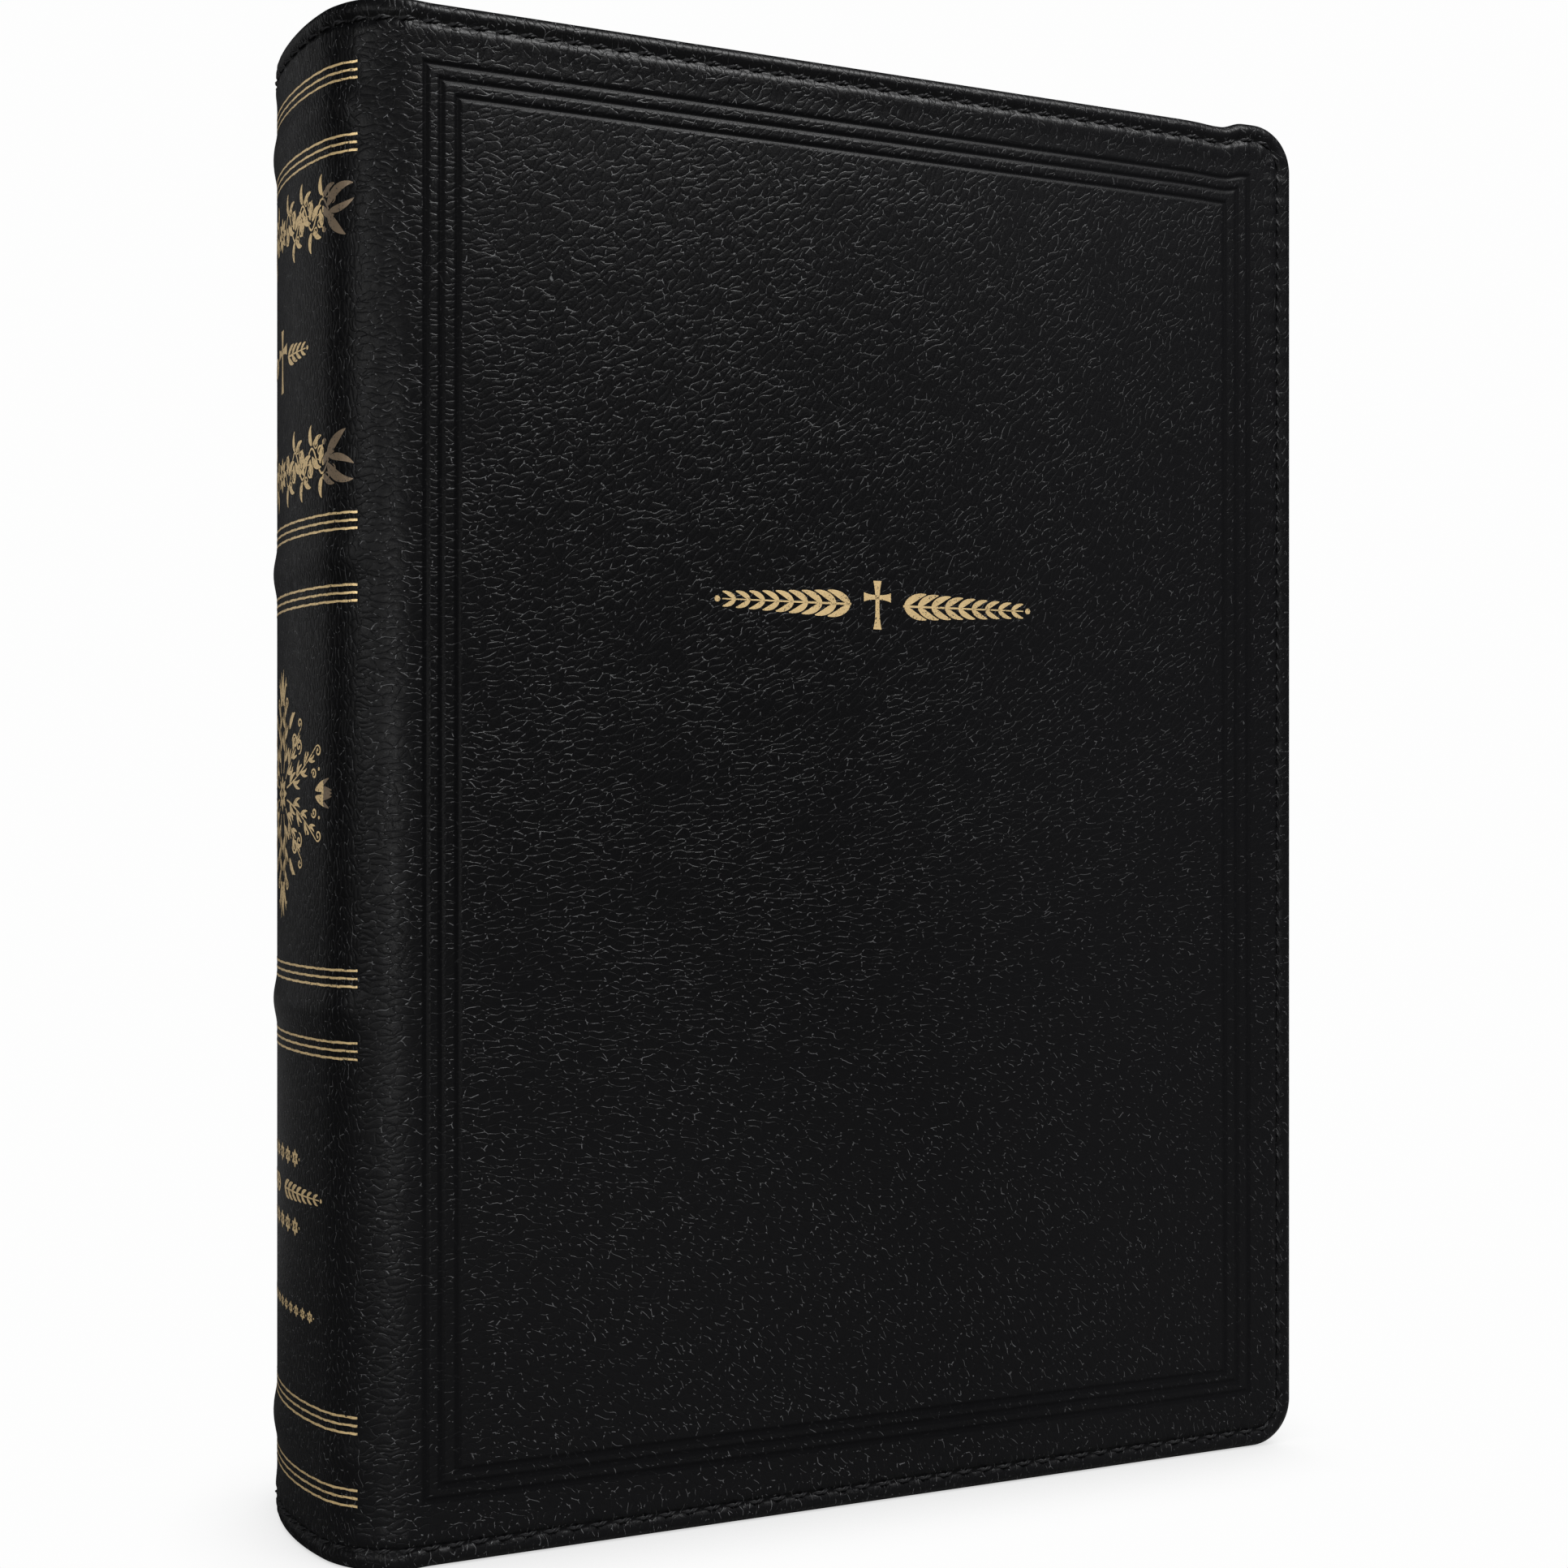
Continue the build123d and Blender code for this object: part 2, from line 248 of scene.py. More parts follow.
def new_object(name, points, faces, materials, face_materials=None, flip=False):
    """Mesh object from points in millimetres, smooth shaded."""
    mesh = bpy.data.meshes.new(name)
    faces = [tuple(reversed(face)) for face in faces] if flip else [tuple(face) for face in faces]
    mesh.from_pydata((np.asarray(points).reshape(-1, 3) * MM).tolist(), [], faces)
    for material in materials:
        mesh.materials.append(material)
    if face_materials is not None:
        mesh.polygons.foreach_set("material_index", np.asarray(face_materials, np.int32))
    mesh.polygons.foreach_set("use_smooth", np.ones(len(mesh.polygons), bool))
    mesh.update()
    piece = bpy.data.objects.new(name, mesh)
    show(piece)
    return piece


def weld(piece, distance=0.002):
    """Merge points that meet, in millimetres."""
    work = bmesh.new()
    work.from_mesh(piece.data)
    bmesh.ops.remove_doubles(work, verts=work.verts, dist=distance * MM)
    bmesh.ops.dissolve_degenerate(work, edges=work.edges, dist=distance * MM / 4)
    loose = [point for point in work.verts if not point.link_faces]
    bmesh.ops.delete(work, geom=loose, context="VERTS")
    work.to_mesh(piece.data)
    work.free()


def grid_faces(columns, rows, first=0):
    """Quads of a grid stored column by column."""
    i, j = np.meshgrid(np.arange(columns - 1), np.arange(rows - 1), indexing="ij")
    corner = (first + i * rows + j).ravel()
    return np.stack([corner, corner + rows, corner + rows + 1, corner + 1], -1)


def tube_faces(rings, count, first=0):
    """Quads between rings of count points each, with both ends closed."""
    faces = []
    for i in range(rings - 1):
        a, b = first + i * count, first + (i + 1) * count
        for j in range(count):
            k = (j + 1) % count
            faces.append((a + j, a + k, b + k, b + j))
    last = first + (rings - 1) * count
    faces.append(tuple(reversed(range(first, first + count))))
    faces.append(tuple(range(last, last + count)))
    return faces


def mirrored(piece, name):
    """Copy of a front piece for the back of the book."""
    copy = piece.copy()
    copy.data = piece.data.copy()
    copy.name = name
    copy.data.name = name
    copy.data.transform(Matrix.Scale(-1, 4, (0, 1, 0)))
    copy.data.flip_normals()
    show(copy)
    return copy


def add_unrolled(piece, coordinates):
    """Store the unrolled place of each point, so that grain follows the leather."""
    attribute = piece.data.attributes.new("unrolled", "FLOAT_VECTOR", "POINT")
    attribute.data.foreach_set("vector", np.asarray(coordinates, np.float32).ravel())


# ---- Leather sheets
def edge_lines(roll):
    """Insets of the lines near a free edge, close together where the edge rolls over."""
    rolled = [roll * (1 - math.cos(math.radians(step))) for step in range(0, 90, 10)]
    return np.array(rolled + list(np.arange(roll, CORNER_RADIUS, 0.42)))


def with_groove_lines(lines, centres):
    """Grid lines with a finer set across each tooled groove."""
    centres = np.array(centres)
    clear = np.abs(lines[:, None] - centres).min(axis=1) > GROOVE_HALF_WIDTH + 0.15
    across = np.array((-1.0, -0.72, -0.48, -0.24, 0.0, 0.24, 0.48, 0.72, 1.0)) * GROOVE_HALF_WIDTH
    return np.sort(np.concatenate([lines[clear], (centres[:, None] + across).ravel()]))


def upright_lines(step):
    """Heights of the lines from tail to head."""
    ends = edge_lines(COVER_THICKNESS / 2)
    frame_zone = np.arange(CORNER_RADIUS, 17.5, 0.6)
    middle = np.linspace(17.5, HEIGHT - 17.5, int((HEIGHT - 35) / step))
    lower = np.concatenate([ends, frame_zone])
    lines = np.concatenate([lower, middle[1:-1], (HEIGHT - lower)[::-1]])
    return with_groove_lines(lines, [level for groove in FRAMES for level in groove[2:]])


def leather_sheet(name, columns, rows, inner_rows, material, keep_inner=None):
    """Outer and inner face of a stretch of the case, joined along its free edges."""
    outer_s, outer_z = np.meshgrid(columns, rows, indexing="ij")
    inner_s, inner_z = np.meshgrid(columns, inner_rows, indexing="ij")
    outer = surface(outer_s, outer_z)
    inner = surface(inner_s, inner_z, inner=True)
    outer_faces = grid_faces(len(columns), len(rows))
    inner_faces = grid_faces(len(columns), len(inner_rows), first=outer_s.size)[:, ::-1]
    if keep_inner is not None:
        middle_s = inner_s.ravel()[inner_faces[:, 0] - outer_s.size]
        middle_z = inner_z.ravel()[inner_faces[:, 0] - outer_s.size]
        inner_faces = inner_faces[keep_inner(middle_s, middle_z)]
    points = np.concatenate([outer.reshape(-1, 3), inner.reshape(-1, 3)])
    piece = new_object(name, points, np.concatenate([outer_faces, inner_faces]).tolist(), [material])
    side = np.concatenate([np.zeros(outer_s.size), np.full(inner_s.size, 9.0)])
    add_unrolled(
        piece,
        np.stack([np.concatenate([outer_s.ravel(), inner_s.ravel()]),
                  np.concatenate([outer_z.ravel(), inner_z.ravel()]), side], -1),
    )
    weld(piece)
    return piece


# ---- Materials
class Nodes:
    """Short way to write the nodes of a material or a world."""

    def __init__(self, owner):
        owner.use_nodes = True
        self.owner = owner
        self.tree = owner.node_tree

    def add(self, kind, inputs=None, output=0, **settings):
        """Add a node, set its options, set or link its inputs, and give one of its outputs."""
        node = self.tree.nodes.new(f"ShaderNode{kind}")
        for key, value in settings.items():
            setattr(node, key, value)
        for key, value in (inputs or {}).items():
            self.plug(value, node.inputs[key])
        return node.outputs[output]

    def plug(self, value, socket):
        """Link an output to a socket, or set the socket's value."""
        if isinstance(value, bpy.types.NodeSocket):
            self.tree.links.new(value, socket)
        else:
            socket.default_value = value

    def calc(self, operation, first, second=0.0):
        return self.add("Math", {0: first, 1: second}, operation=operation)

    def plus(self, first, second):
        return self.calc("ADD", first, second)

    def minus(self, first, second):
        return self.calc("SUBTRACT", first, second)

    def times(self, first, second):
        return self.calc("MULTIPLY", first, second)

    def vector(self, operation, first, second):
        """Vector arithmetic; SCALE takes its factor from another socket than the rest."""
        socket = 3 if operation == "SCALE" else 1
        return self.add("VectorMath", {0: first, socket: second}, operation=operation)

    def place(self):
        """Place on the piece, in metres."""
        return self.add("TexCoord", output="Object")

    def noise(self, vector, scale, detail, **settings):
        return self.add("TexNoise", {"Vector": vector, "Scale": scale, "Detail": detail}, **settings)

    def ramp(self, value, low, high, start=0.0, end=1.0):
        """Smooth change from start to end as value goes from low to high."""
        limits = {"Value": value, "From Min": low, "From Max": high, "To Min": start, "To Max": end}
        return self.add("MapRange", limits, interpolation_type="SMOOTHSTEP")

    def mix(self, share, first, second):
        """Mix of two colours."""
        return self.add("Mix", {0: share, 6: first, 7: second}, output=2, data_type="RGBA")

    def blend(self, share, first, second):
        """Mix of two numbers."""
        return self.add("Mix", {0: share, 2: first, 3: second})

    def surface(self, **inputs):
        """Set the main shader's inputs and give the material."""
        for key, value in inputs.items():
            self.plug(value, self.tree.nodes["Principled BSDF"].inputs[key.replace("_", " ")])
        return self.owner

    def show_by_ray(self, output, indirect, direct):
        """Show one shader to the camera and the other to all other rays."""
        seen = self.add("LightPath", output="Is Camera Ray")
        either = self.add("MixShader", {0: seen, 1: indirect, 2: direct})
        self.plug(either, self.tree.nodes[output].inputs["Surface"])

    def bump(self, height, distance, strength=1.0):
        """Normal from a height; distance in millimetres."""
        return self.add("Bump", {"Height": height, "Distance": distance * MM, "Strength": strength})


def new_material(name):
    return Nodes(bpy.data.materials.new(name))


def grain_lie(n, along, up, sway):
    """Angle of the grain: level by the hinge, fanning out over the cover, upright by the edges."""
    fan = n.times(n.ramp(up, 15.0, 190.0, 46.0, -46.0), n.ramp(along, 0.0, 22.0))
    fan = n.times(fan, n.ramp(along, 0.0, 150.0, 0.8, 1.3))
    fan = n.plus(fan, n.times(sway, 50.0))
    from_end = n.calc("MINIMUM", up, n.minus(HEIGHT, up))
    by_stitches = n.calc("LESS_THAN", n.plus(from_end, n.times(sway, 6.0)), 6.0)
    on_spine = n.calc("LESS_THAN", n.plus(along, n.times(sway, 6.0)), -10.5)
    # In steps, because a gradient in the angle would shear the cells far from the origin
    lie = n.calc("SNAP", n.blend(n.calc("MAXIMUM", by_stitches, on_spine), fan, UPRIGHT_GRAIN), 9.0)
    return n.calc("RADIANS", lie), on_spine


def clear_of_frames(n, along, up):
    """0 in the tooled grooves, which are pressed smooth, and 1 away from them."""
    pressed = 1.0
    for start, end, bottom, top in FRAMES:
        across = n.calc("ABSOLUTE", n.minus(along, (start + end) / 2))
        across = n.minus(across, (end - start) / 2)
        upright = n.calc("ABSOLUTE", n.minus(up, (bottom + top) / 2))
        off = n.calc("MAXIMUM", across, n.minus(upright, (top - bottom) / 2))
        pressed = n.times(pressed, n.ramp(n.calc("ABSOLUTE", off), 0.4, 0.85))
    return pressed


def leather_material():
    """Black pebbled leather, with glints painted as pale dashes on the folds between the pebbles."""
    n = new_material("leather")
    place = n.add("Attribute", output="Vector", attribute_name="unrolled")
    along = n.add("SeparateXYZ", {0: place}, output="X")
    up = n.add("SeparateXYZ", {0: place}, output="Y")
    plane = {"noise_dimensions": "2D"}
    wander = n.noise(place, 0.3, 1.0, output="Color", **plane)
    shift = n.vector("SCALE", n.vector("SUBTRACT", wander, (0.5, 0.5, 0.5)), 1.5)
    bent = n.vector("ADD", place, shift)
    blotch = n.noise(place, 0.09, 3.0, **plane)
    lie, on_spine = grain_lie(n, along, up, n.minus(blotch, 0.5))
    turned = n.add("VectorRotate", {"Vector": bent, "Angle": lie}, rotation_type="Z_AXIS")
    stretched = n.vector("MULTIPLY", turned, (0.27, 0.62, 1.0))
    folds = {"feature": "DISTANCE_TO_EDGE", "voronoi_dimensions": "2D"}
    sized = n.vector("SCALE", stretched, n.blend(on_spine, 1.4, 1.9))
    cells = n.add("TexVoronoi", {"Vector": sized, "Scale": 1.0}, **folds)
    small = n.add("TexVoronoi", {"Vector": bent, "Scale": 1.25}, **folds)
    fine = n.noise(place, 3.5, 3.0, **plane)
    broken = n.noise(n.vector("MULTIPLY", turned, (0.55, 2.6, 1.0)), 1.0, 1.0, **plane)
    pressed = clear_of_frames(n, along, up)
    rounding = n.ramp(along, -16.0, -5.0, 1.0, 0.0)
    strength = n.blend(rounding, n.ramp(blotch, 0.3, 0.6, 0.6, 1.0), 0.85)
    strength = n.times(strength, n.blend(pressed, 0.1, 1.0))
    strength = n.times(strength, n.ramp(along, 30.0, 160.0, 1.0, 0.62))
    # Heights in millimetres
    pebble = n.plus(n.times(n.ramp(cells, 0.0, 0.4), 0.032), n.times(n.ramp(cells, 0.0, 0.08), 0.034))
    pebble = n.plus(pebble, n.times(n.ramp(small, 0.0, 0.14), 0.008))
    height = n.plus(n.times(pebble, strength), n.times(fine, 0.008))
    # Painted highlights: pale dashes along the fold lines, broken up by noise, put into the base colour
    line = n.ramp(cells, 0.014, 0.044, 1.0, 0.0)
    painted_glint = n.times(n.times(line, n.ramp(broken, 0.56, 0.65)), strength)
    # The black is a little paler towards the fore-edge and towards the tail
    foil_wear_and_paler_leather = n.calc("MAXIMUM", n.ramp(along, 50.0, 140.0), n.ramp(up, 40.0, 120.0, 0.55, 0.0))
    black = n.mix(foil_wear_and_paler_leather, (0.0026, 0.0026, 0.0029, 1), (0.0052, 0.0052, 0.0057, 1))
    shine = n.blend(rounding, n.ramp(along, 30.0, 160.0, 0.125, 0.09), 0.055)
    # The base colour turns pale grey where the painted highlights fall
    return n.surface(
        Base_Color=n.mix(painted_glint, black, (0.105, 0.106, 0.108, 1)),
        Roughness=n.ramp(fine, 0.3, 0.7, 0.32, 0.42),
        Specular_IOR_Level=n.times(shine, n.blend(pressed, 0.4, 1.0)),
        Normal=n.bump(height, 1.0),
    )


def lining_material():
    """Smooth black leather-look lining with a very fine grain."""
    n = new_material("lining")
    place = n.place()
    cells = n.add("TexVoronoi", {"Vector": place, "Scale": 1500.0}, feature="DISTANCE_TO_EDGE")
    cloud = n.noise(place, 60.0, 3.0)
    return n.surface(
        Base_Color=n.mix(cloud, (0.010, 0.010, 0.0105, 1), (0.02, 0.02, 0.021, 1)),
        Roughness=n.ramp(cloud, 0.3, 0.7, 0.42, 0.58),
        Specular_IOR_Level=0.35,
        Normal=n.bump(n.ramp(cells, 0.0, 0.12), 0.12, 0.6),
    )


def thread_material():
    """Waxed black thread."""
    n = new_material("thread")
    fuzz = n.noise(n.place(), 5200.0, 2.0)
    return n.surface(
        Base_Color=n.mix(fuzz, (0.003, 0.003, 0.0035, 1), (0.014, 0.014, 0.015, 1)),
        Roughness=0.5,
        Specular_IOR_Level=0.2,
        Normal=n.bump(fuzz, 0.05, 0.6),
    )


def foil_material(name, shade=1.0):
    """Stamped gold foil, a little broken where the grain shows through; a shade below 1 darkens the whole
    foil as painted shade.
    """
    n = new_material(name)
    place = n.place()
    pits = n.add("TexNoise", {"Vector": place, "Scale": 2600.0, "Detail": 2.0, "Roughness": 0.6})
    cloud = n.noise(place, 420.0, 2.0)
    foil_wear_and_paler_leather = n.times(n.ramp(pits, 0.56, 0.66), n.ramp(cloud, 0.35, 0.6, 0.15, 1.0))
    light = (0.86 * shade, 0.64 * shade, 0.33 * shade**0.8, 1)
    dark = (0.70 * shade, 0.50 * shade, 0.24 * shade**0.8, 1)
    return n.surface(
        Base_Color=n.mix(foil_wear_and_paler_leather, n.mix(cloud, light, dark), (0.02, 0.017, 0.012, 1)),
        Metallic=n.ramp(foil_wear_and_paler_leather, 0.0, 1.0, 0.55, 0.0),
        Roughness=n.ramp(pits, 0.3, 0.7, 0.38, 0.5),
        Normal=n.bump(pits, 0.05, 0.7),
    )


def paper_material(name, light, dark, roughness=0.75):
    """Paper with faint fibres."""
    n = new_material(name)
    place = n.place()
    fibre = n.noise(place, 900.0, 4.0)
    cloud = n.noise(place, 25.0, 2.0)
    return n.surface(
        Base_Color=n.mix(n.times(n.plus(fibre, cloud), 0.5), dark, light),
        Roughness=roughness,
        Specular_IOR_Level=0.25,
        Normal=n.bump(fibre, 0.03, 0.5),
    )


def gilt_edge_material():
    """Burnished gold on the edges of the leaves, with the leaves showing as fine lines."""
    n = new_material("gilt_edges")
    place = n.place()
    lines = n.noise(n.add("Mapping", {"Vector": place, "Scale": (14, 5200, 14)}), 1.0, 2.0)
    cloud = n.noise(place, 40.0, 2.0)
    return n.surface(
        Base_Color=n.mix(lines, (0.42, 0.27, 0.10, 1), (0.86, 0.63, 0.30, 1)),
        Metallic=0.9,
        Roughness=n.ramp(cloud, 0.3, 0.7, 0.3, 0.46),
        Normal=n.bump(lines, 0.09, 0.8),
    )


def headband_material():
    """Silk wraps in gold and black."""
    n = new_material("headband")
    place = n.place()
    wraps = n.add("TexWave", {"Vector": place, "Scale": 190.0, "Distortion": 0.6}, bands_direction="Y")
    return n.surface(
        Base_Color=n.mix(n.ramp(wraps, 0.45, 0.55), (0.012, 0.011, 0.01, 1), (0.45, 0.30, 0.09, 1)),
        Roughness=0.5,
        Sheen_Weight=0.3,
        Normal=n.bump(n.noise(place, 3000.0, 2.0), 0.06, 0.6),
    )


def ribbon_material():
    """Dark red satin."""
    n = new_material("ribbon")
    weave = n.add("TexWave", {"Vector": n.place(), "Scale": 900.0}, bands_direction="Z")
    return n.surface(
        Base_Color=n.mix(weave, (0.085, 0.003, 0.005, 1), (0.14, 0.006, 0.009, 1)),
        Roughness=0.35,
        Sheen_Weight=0.4,
        Normal=n.bump(weave, 0.03, 0.5),
    )


leather = leather_material()
lining = lining_material()
thread = thread_material()
foil = foil_material("foil")
# A darker copy of the foil: painted shade for ornament strokes far round the spine towards either cover
painted_shade_foil = foil_material("painted_shade_foil", 0.28)
paper = paper_material("paper", (0.84, 0.79, 0.68, 1), (0.76, 0.70, 0.58, 1))
endpaper = paper_material("endpaper", (0.022, 0.021, 0.02, 1), (0.013, 0.0125, 0.012, 1), 0.45)
mull = paper_material("mull", (0.72, 0.68, 0.58, 1), (0.60, 0.56, 0.46, 1), 0.85)
gilt = gilt_edge_material()
bands = headband_material()
satin = ribbon_material()


# ---- The case
def turn_point(degrees):
    """Point on the front shoulder at an angle from the back of the spine, in metres."""
    x, y, _, _ = outline(-SHOULDER_RADIUS * (math.pi / 2 - math.radians(degrees)))
    return Vector((float(x) * MM, float(y) * MM, 0))


shoulder_start, shoulder_end = turn_point(25), turn_point(72)
hinge_start = Vector(((SHOULDER_X - 3.0) * MM, FACE_Y * MM, 0))
hinge_end = Vector(((SHOULDER_X + 9.0) * MM, FACE_Y * MM, 0))


def flip_y(point):
    return Vector((point.x, -point.y, point.z))


def bend(piece, side, inner, outer, start, end):
    """Bake the piece's placement into its mesh; inner and outer are not used, and start and end are
    flipped for the back but not used.
    """
    if side == "back":
        start, end = flip_y(start), flip_y(end)
    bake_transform(piece)


def bend_shoulder(piece, side):
    bend(piece, side, "spine", f"{side}_joint", shoulder_start, shoulder_end)


def bend_hinge(piece, side):
    bend(piece, side, f"{side}_joint", f"{side}_cover", hinge_start, hinge_end)


end_lines = edge_lines(COVER_THICKNESS / 2)
rows = upright_lines(0.72)
inner_middle = np.linspace(CORNER_RADIUS, HEIGHT - CORNER_RADIUS, 26)
inner_rows = np.concatenate([end_lines, inner_middle, (HEIGHT - end_lines)[::-1]])
cover_columns = np.concatenate([
    np.arange(SEAM, 8.5, 0.45),
    np.linspace(8.5, WIDTH - 17.5, 182),
    np.arange(WIDTH - 17.4, WIDTH - CORNER_RADIUS - 0.1, 0.42),
    (WIDTH - end_lines)[::-1],
])
uprights = [place for groove in FRAMES for place in groove[:2]]
cover_columns = with_groove_lines(cover_columns, uprights)
front_panel = leather_sheet(
    "front_cover_skin", cover_columns, rows, rows, leather,
    keep_inner=lambda s, z: (edge_inset(s, z) < 7.5) | (s < 8.0),
)
shoulder_columns = np.linspace(-SHOULDER_ARC, SEAM, 30)
front_shoulder = leather_sheet("front_shoulder_skin", shoulder_columns, rows, inner_rows, leather)
spine_columns = np.linspace(-2 * HALF_ARC + SHOULDER_ARC, -SHOULDER_ARC, 61)
spine_skin = leather_sheet("spine_skin", spine_columns, rows, inner_rows, leather)
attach(spine_skin, "spine")
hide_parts("spine_leather", "spine_inlay", "raised_band_cords")

case_pieces = {
    "front": (front_panel, front_shoulder),
    "back": (mirrored(front_panel, "back_cover_skin"), mirrored(front_shoulder, "back_shoulder_skin")),
}
for side, (panel, shoulder) in case_pieces.items():
    bend_hinge(panel, side)
    bend_shoulder(shoulder, side)
    parts = ("leather", "padding", "board")
    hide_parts(*[f"{side}_cover_{part}" for part in parts])
    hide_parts(f"{side}_joint_leather")


# ---- Stitches
def stitched_place(kind, count):
    """Plan place (s, z) on the stitched line of the head half, count stitches from its start."""
    top = HEIGHT - STITCH_INSET
    if kind == "end":
        return WIDTH - CORNER_RADIUS - count * STITCH_PITCH, top + 0 * count
    if kind == "fore_edge":
        pitch = (HEIGHT - 2 * CORNER_RADIUS) / FORE_EDGE_STITCHES
        return WIDTH - STITCH_INSET + 0 * count, HEIGHT / 2 + count * pitch
    share = count / CORNER_STITCHES
    reach = CORNER_RADIUS - STITCH_INSET
    a = np.where(share <= 0.5, reach, (1 - share) * 2 * reach)
    b = np.where(share <= 0.5, 2 * share * reach, reach)
    return WIDTH - CORNER_RADIUS + a, HEIGHT - CORNER_RADIUS + b


def stitch_lines(kind, first, last):
    """Short centre lines of the stitches first to last on the head half and its mirror image."""
    lines = []
    for number in range(first, last):
        count = number + 0.5 + np.linspace(-0.5, 0.5, 11) * STITCH_LENGTH
        s, z = stitched_place(kind, count)
        s, z = np.broadcast_arrays(s, z)
        lines.append((s, z))
        lines.append((s, HEIGHT - z))
    return lines


def stitch_mesh(name, lines):
    """Two-ply twisted stitches lying in the stitched valley."""
    turns = np.linspace(0, 2 * math.pi, 6, endpoint=False)
    points, faces = [], []
    for s, z in lines:
        centre = surface(s, z)
        arch = np.sin(np.linspace(0, math.pi, len(s)))
        _, _, nx, ny = outline(s)
        normal = np.stack([nx, ny, np.zeros_like(nx)], -1)
        tangent = np.gradient(centre, axis=0)
        tangent /= np.linalg.norm(tangent, axis=1, keepdims=True)
        side = np.cross(tangent, normal)
        slant = np.linspace(0.16, -0.16, len(s))
        centre = centre + normal * (0.36 * arch - 0.12)[:, None] + side * slant[:, None]
        twist = np.linspace(0, 2.6 * math.pi, len(s))
        thick = 0.10 + 0.15 * arch**0.5
        for ply in (0, math.pi):
            around = side * np.cos(twist + ply)[:, None] + normal * np.sin(twist + ply)[:, None]
            strand = centre + around * 0.17 * arch[:, None]
            ring = (
                strand[:, None]
                + side[:, None] * (np.cos(turns)[:, None] * thick[:, None, None])
                + normal[:, None] * (np.sin(turns)[:, None] * thick[:, None, None])
            )
            faces += tube_faces(len(s), len(turns), first=len(turns) * len(s) * len(points))
            points.append(ring.reshape(-1, 3))
    return new_object(name, np.concatenate(points), faces, [thread], flip=True)


seam_count = int((WIDTH - CORNER_RADIUS - SEAM) / STITCH_PITCH)
fold_count = int((WIDTH - CORNER_RADIUS + SHOULDER_ARC) / STITCH_PITCH)
half = FORE_EDGE_STITCHES // 2
panel_lines = stitch_lines("end", 0, seam_count) + stitch_lines("corner", 0, CORNER_STITCHES)
panel_lines += stitch_lines("fore_edge", 0, half)
cover_stitches = stitch_mesh("front_cover_stitches", panel_lines)
shoulder_stitches = stitch_mesh("front_shoulder_stitches", stitch_lines("end", seam_count, fold_count))
spine_count = 2 * END_STITCHES - fold_count
spine_stitches = stitch_mesh("spine_stitches", stitch_lines("end", fold_count, spine_count))
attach(spine_stitches, "spine")
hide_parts("spine_stitching")
back_stitches = mirrored(cover_stitches, "back_cover_stitches")
back_shoulder_stitches = mirrored(shoulder_stitches, "back_shoulder_stitches")
stitches = {
    "front": (cover_stitches, shoulder_stitches),
    "back": (back_stitches, back_shoulder_stitches),
}
for side, (panel, shoulder) in stitches.items():
    bend_hinge(panel, side)
    bend_shoulder(shoulder, side)
    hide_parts(f"{side}_cover_stitching")
    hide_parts(f"{side}_joint_stitching")


# ---- Gold tooling
def walk(start, heading, step):
    """Points reached from start by steps along a changing heading, in radians."""
    u = start[0] + np.concatenate([[0], np.cumsum((np.cos(heading) * step)[:-1])])
    v = start[1] + np.concatenate([[0], np.cumsum((np.sin(heading) * step)[:-1])])
    return np.stack([u, v], -1)


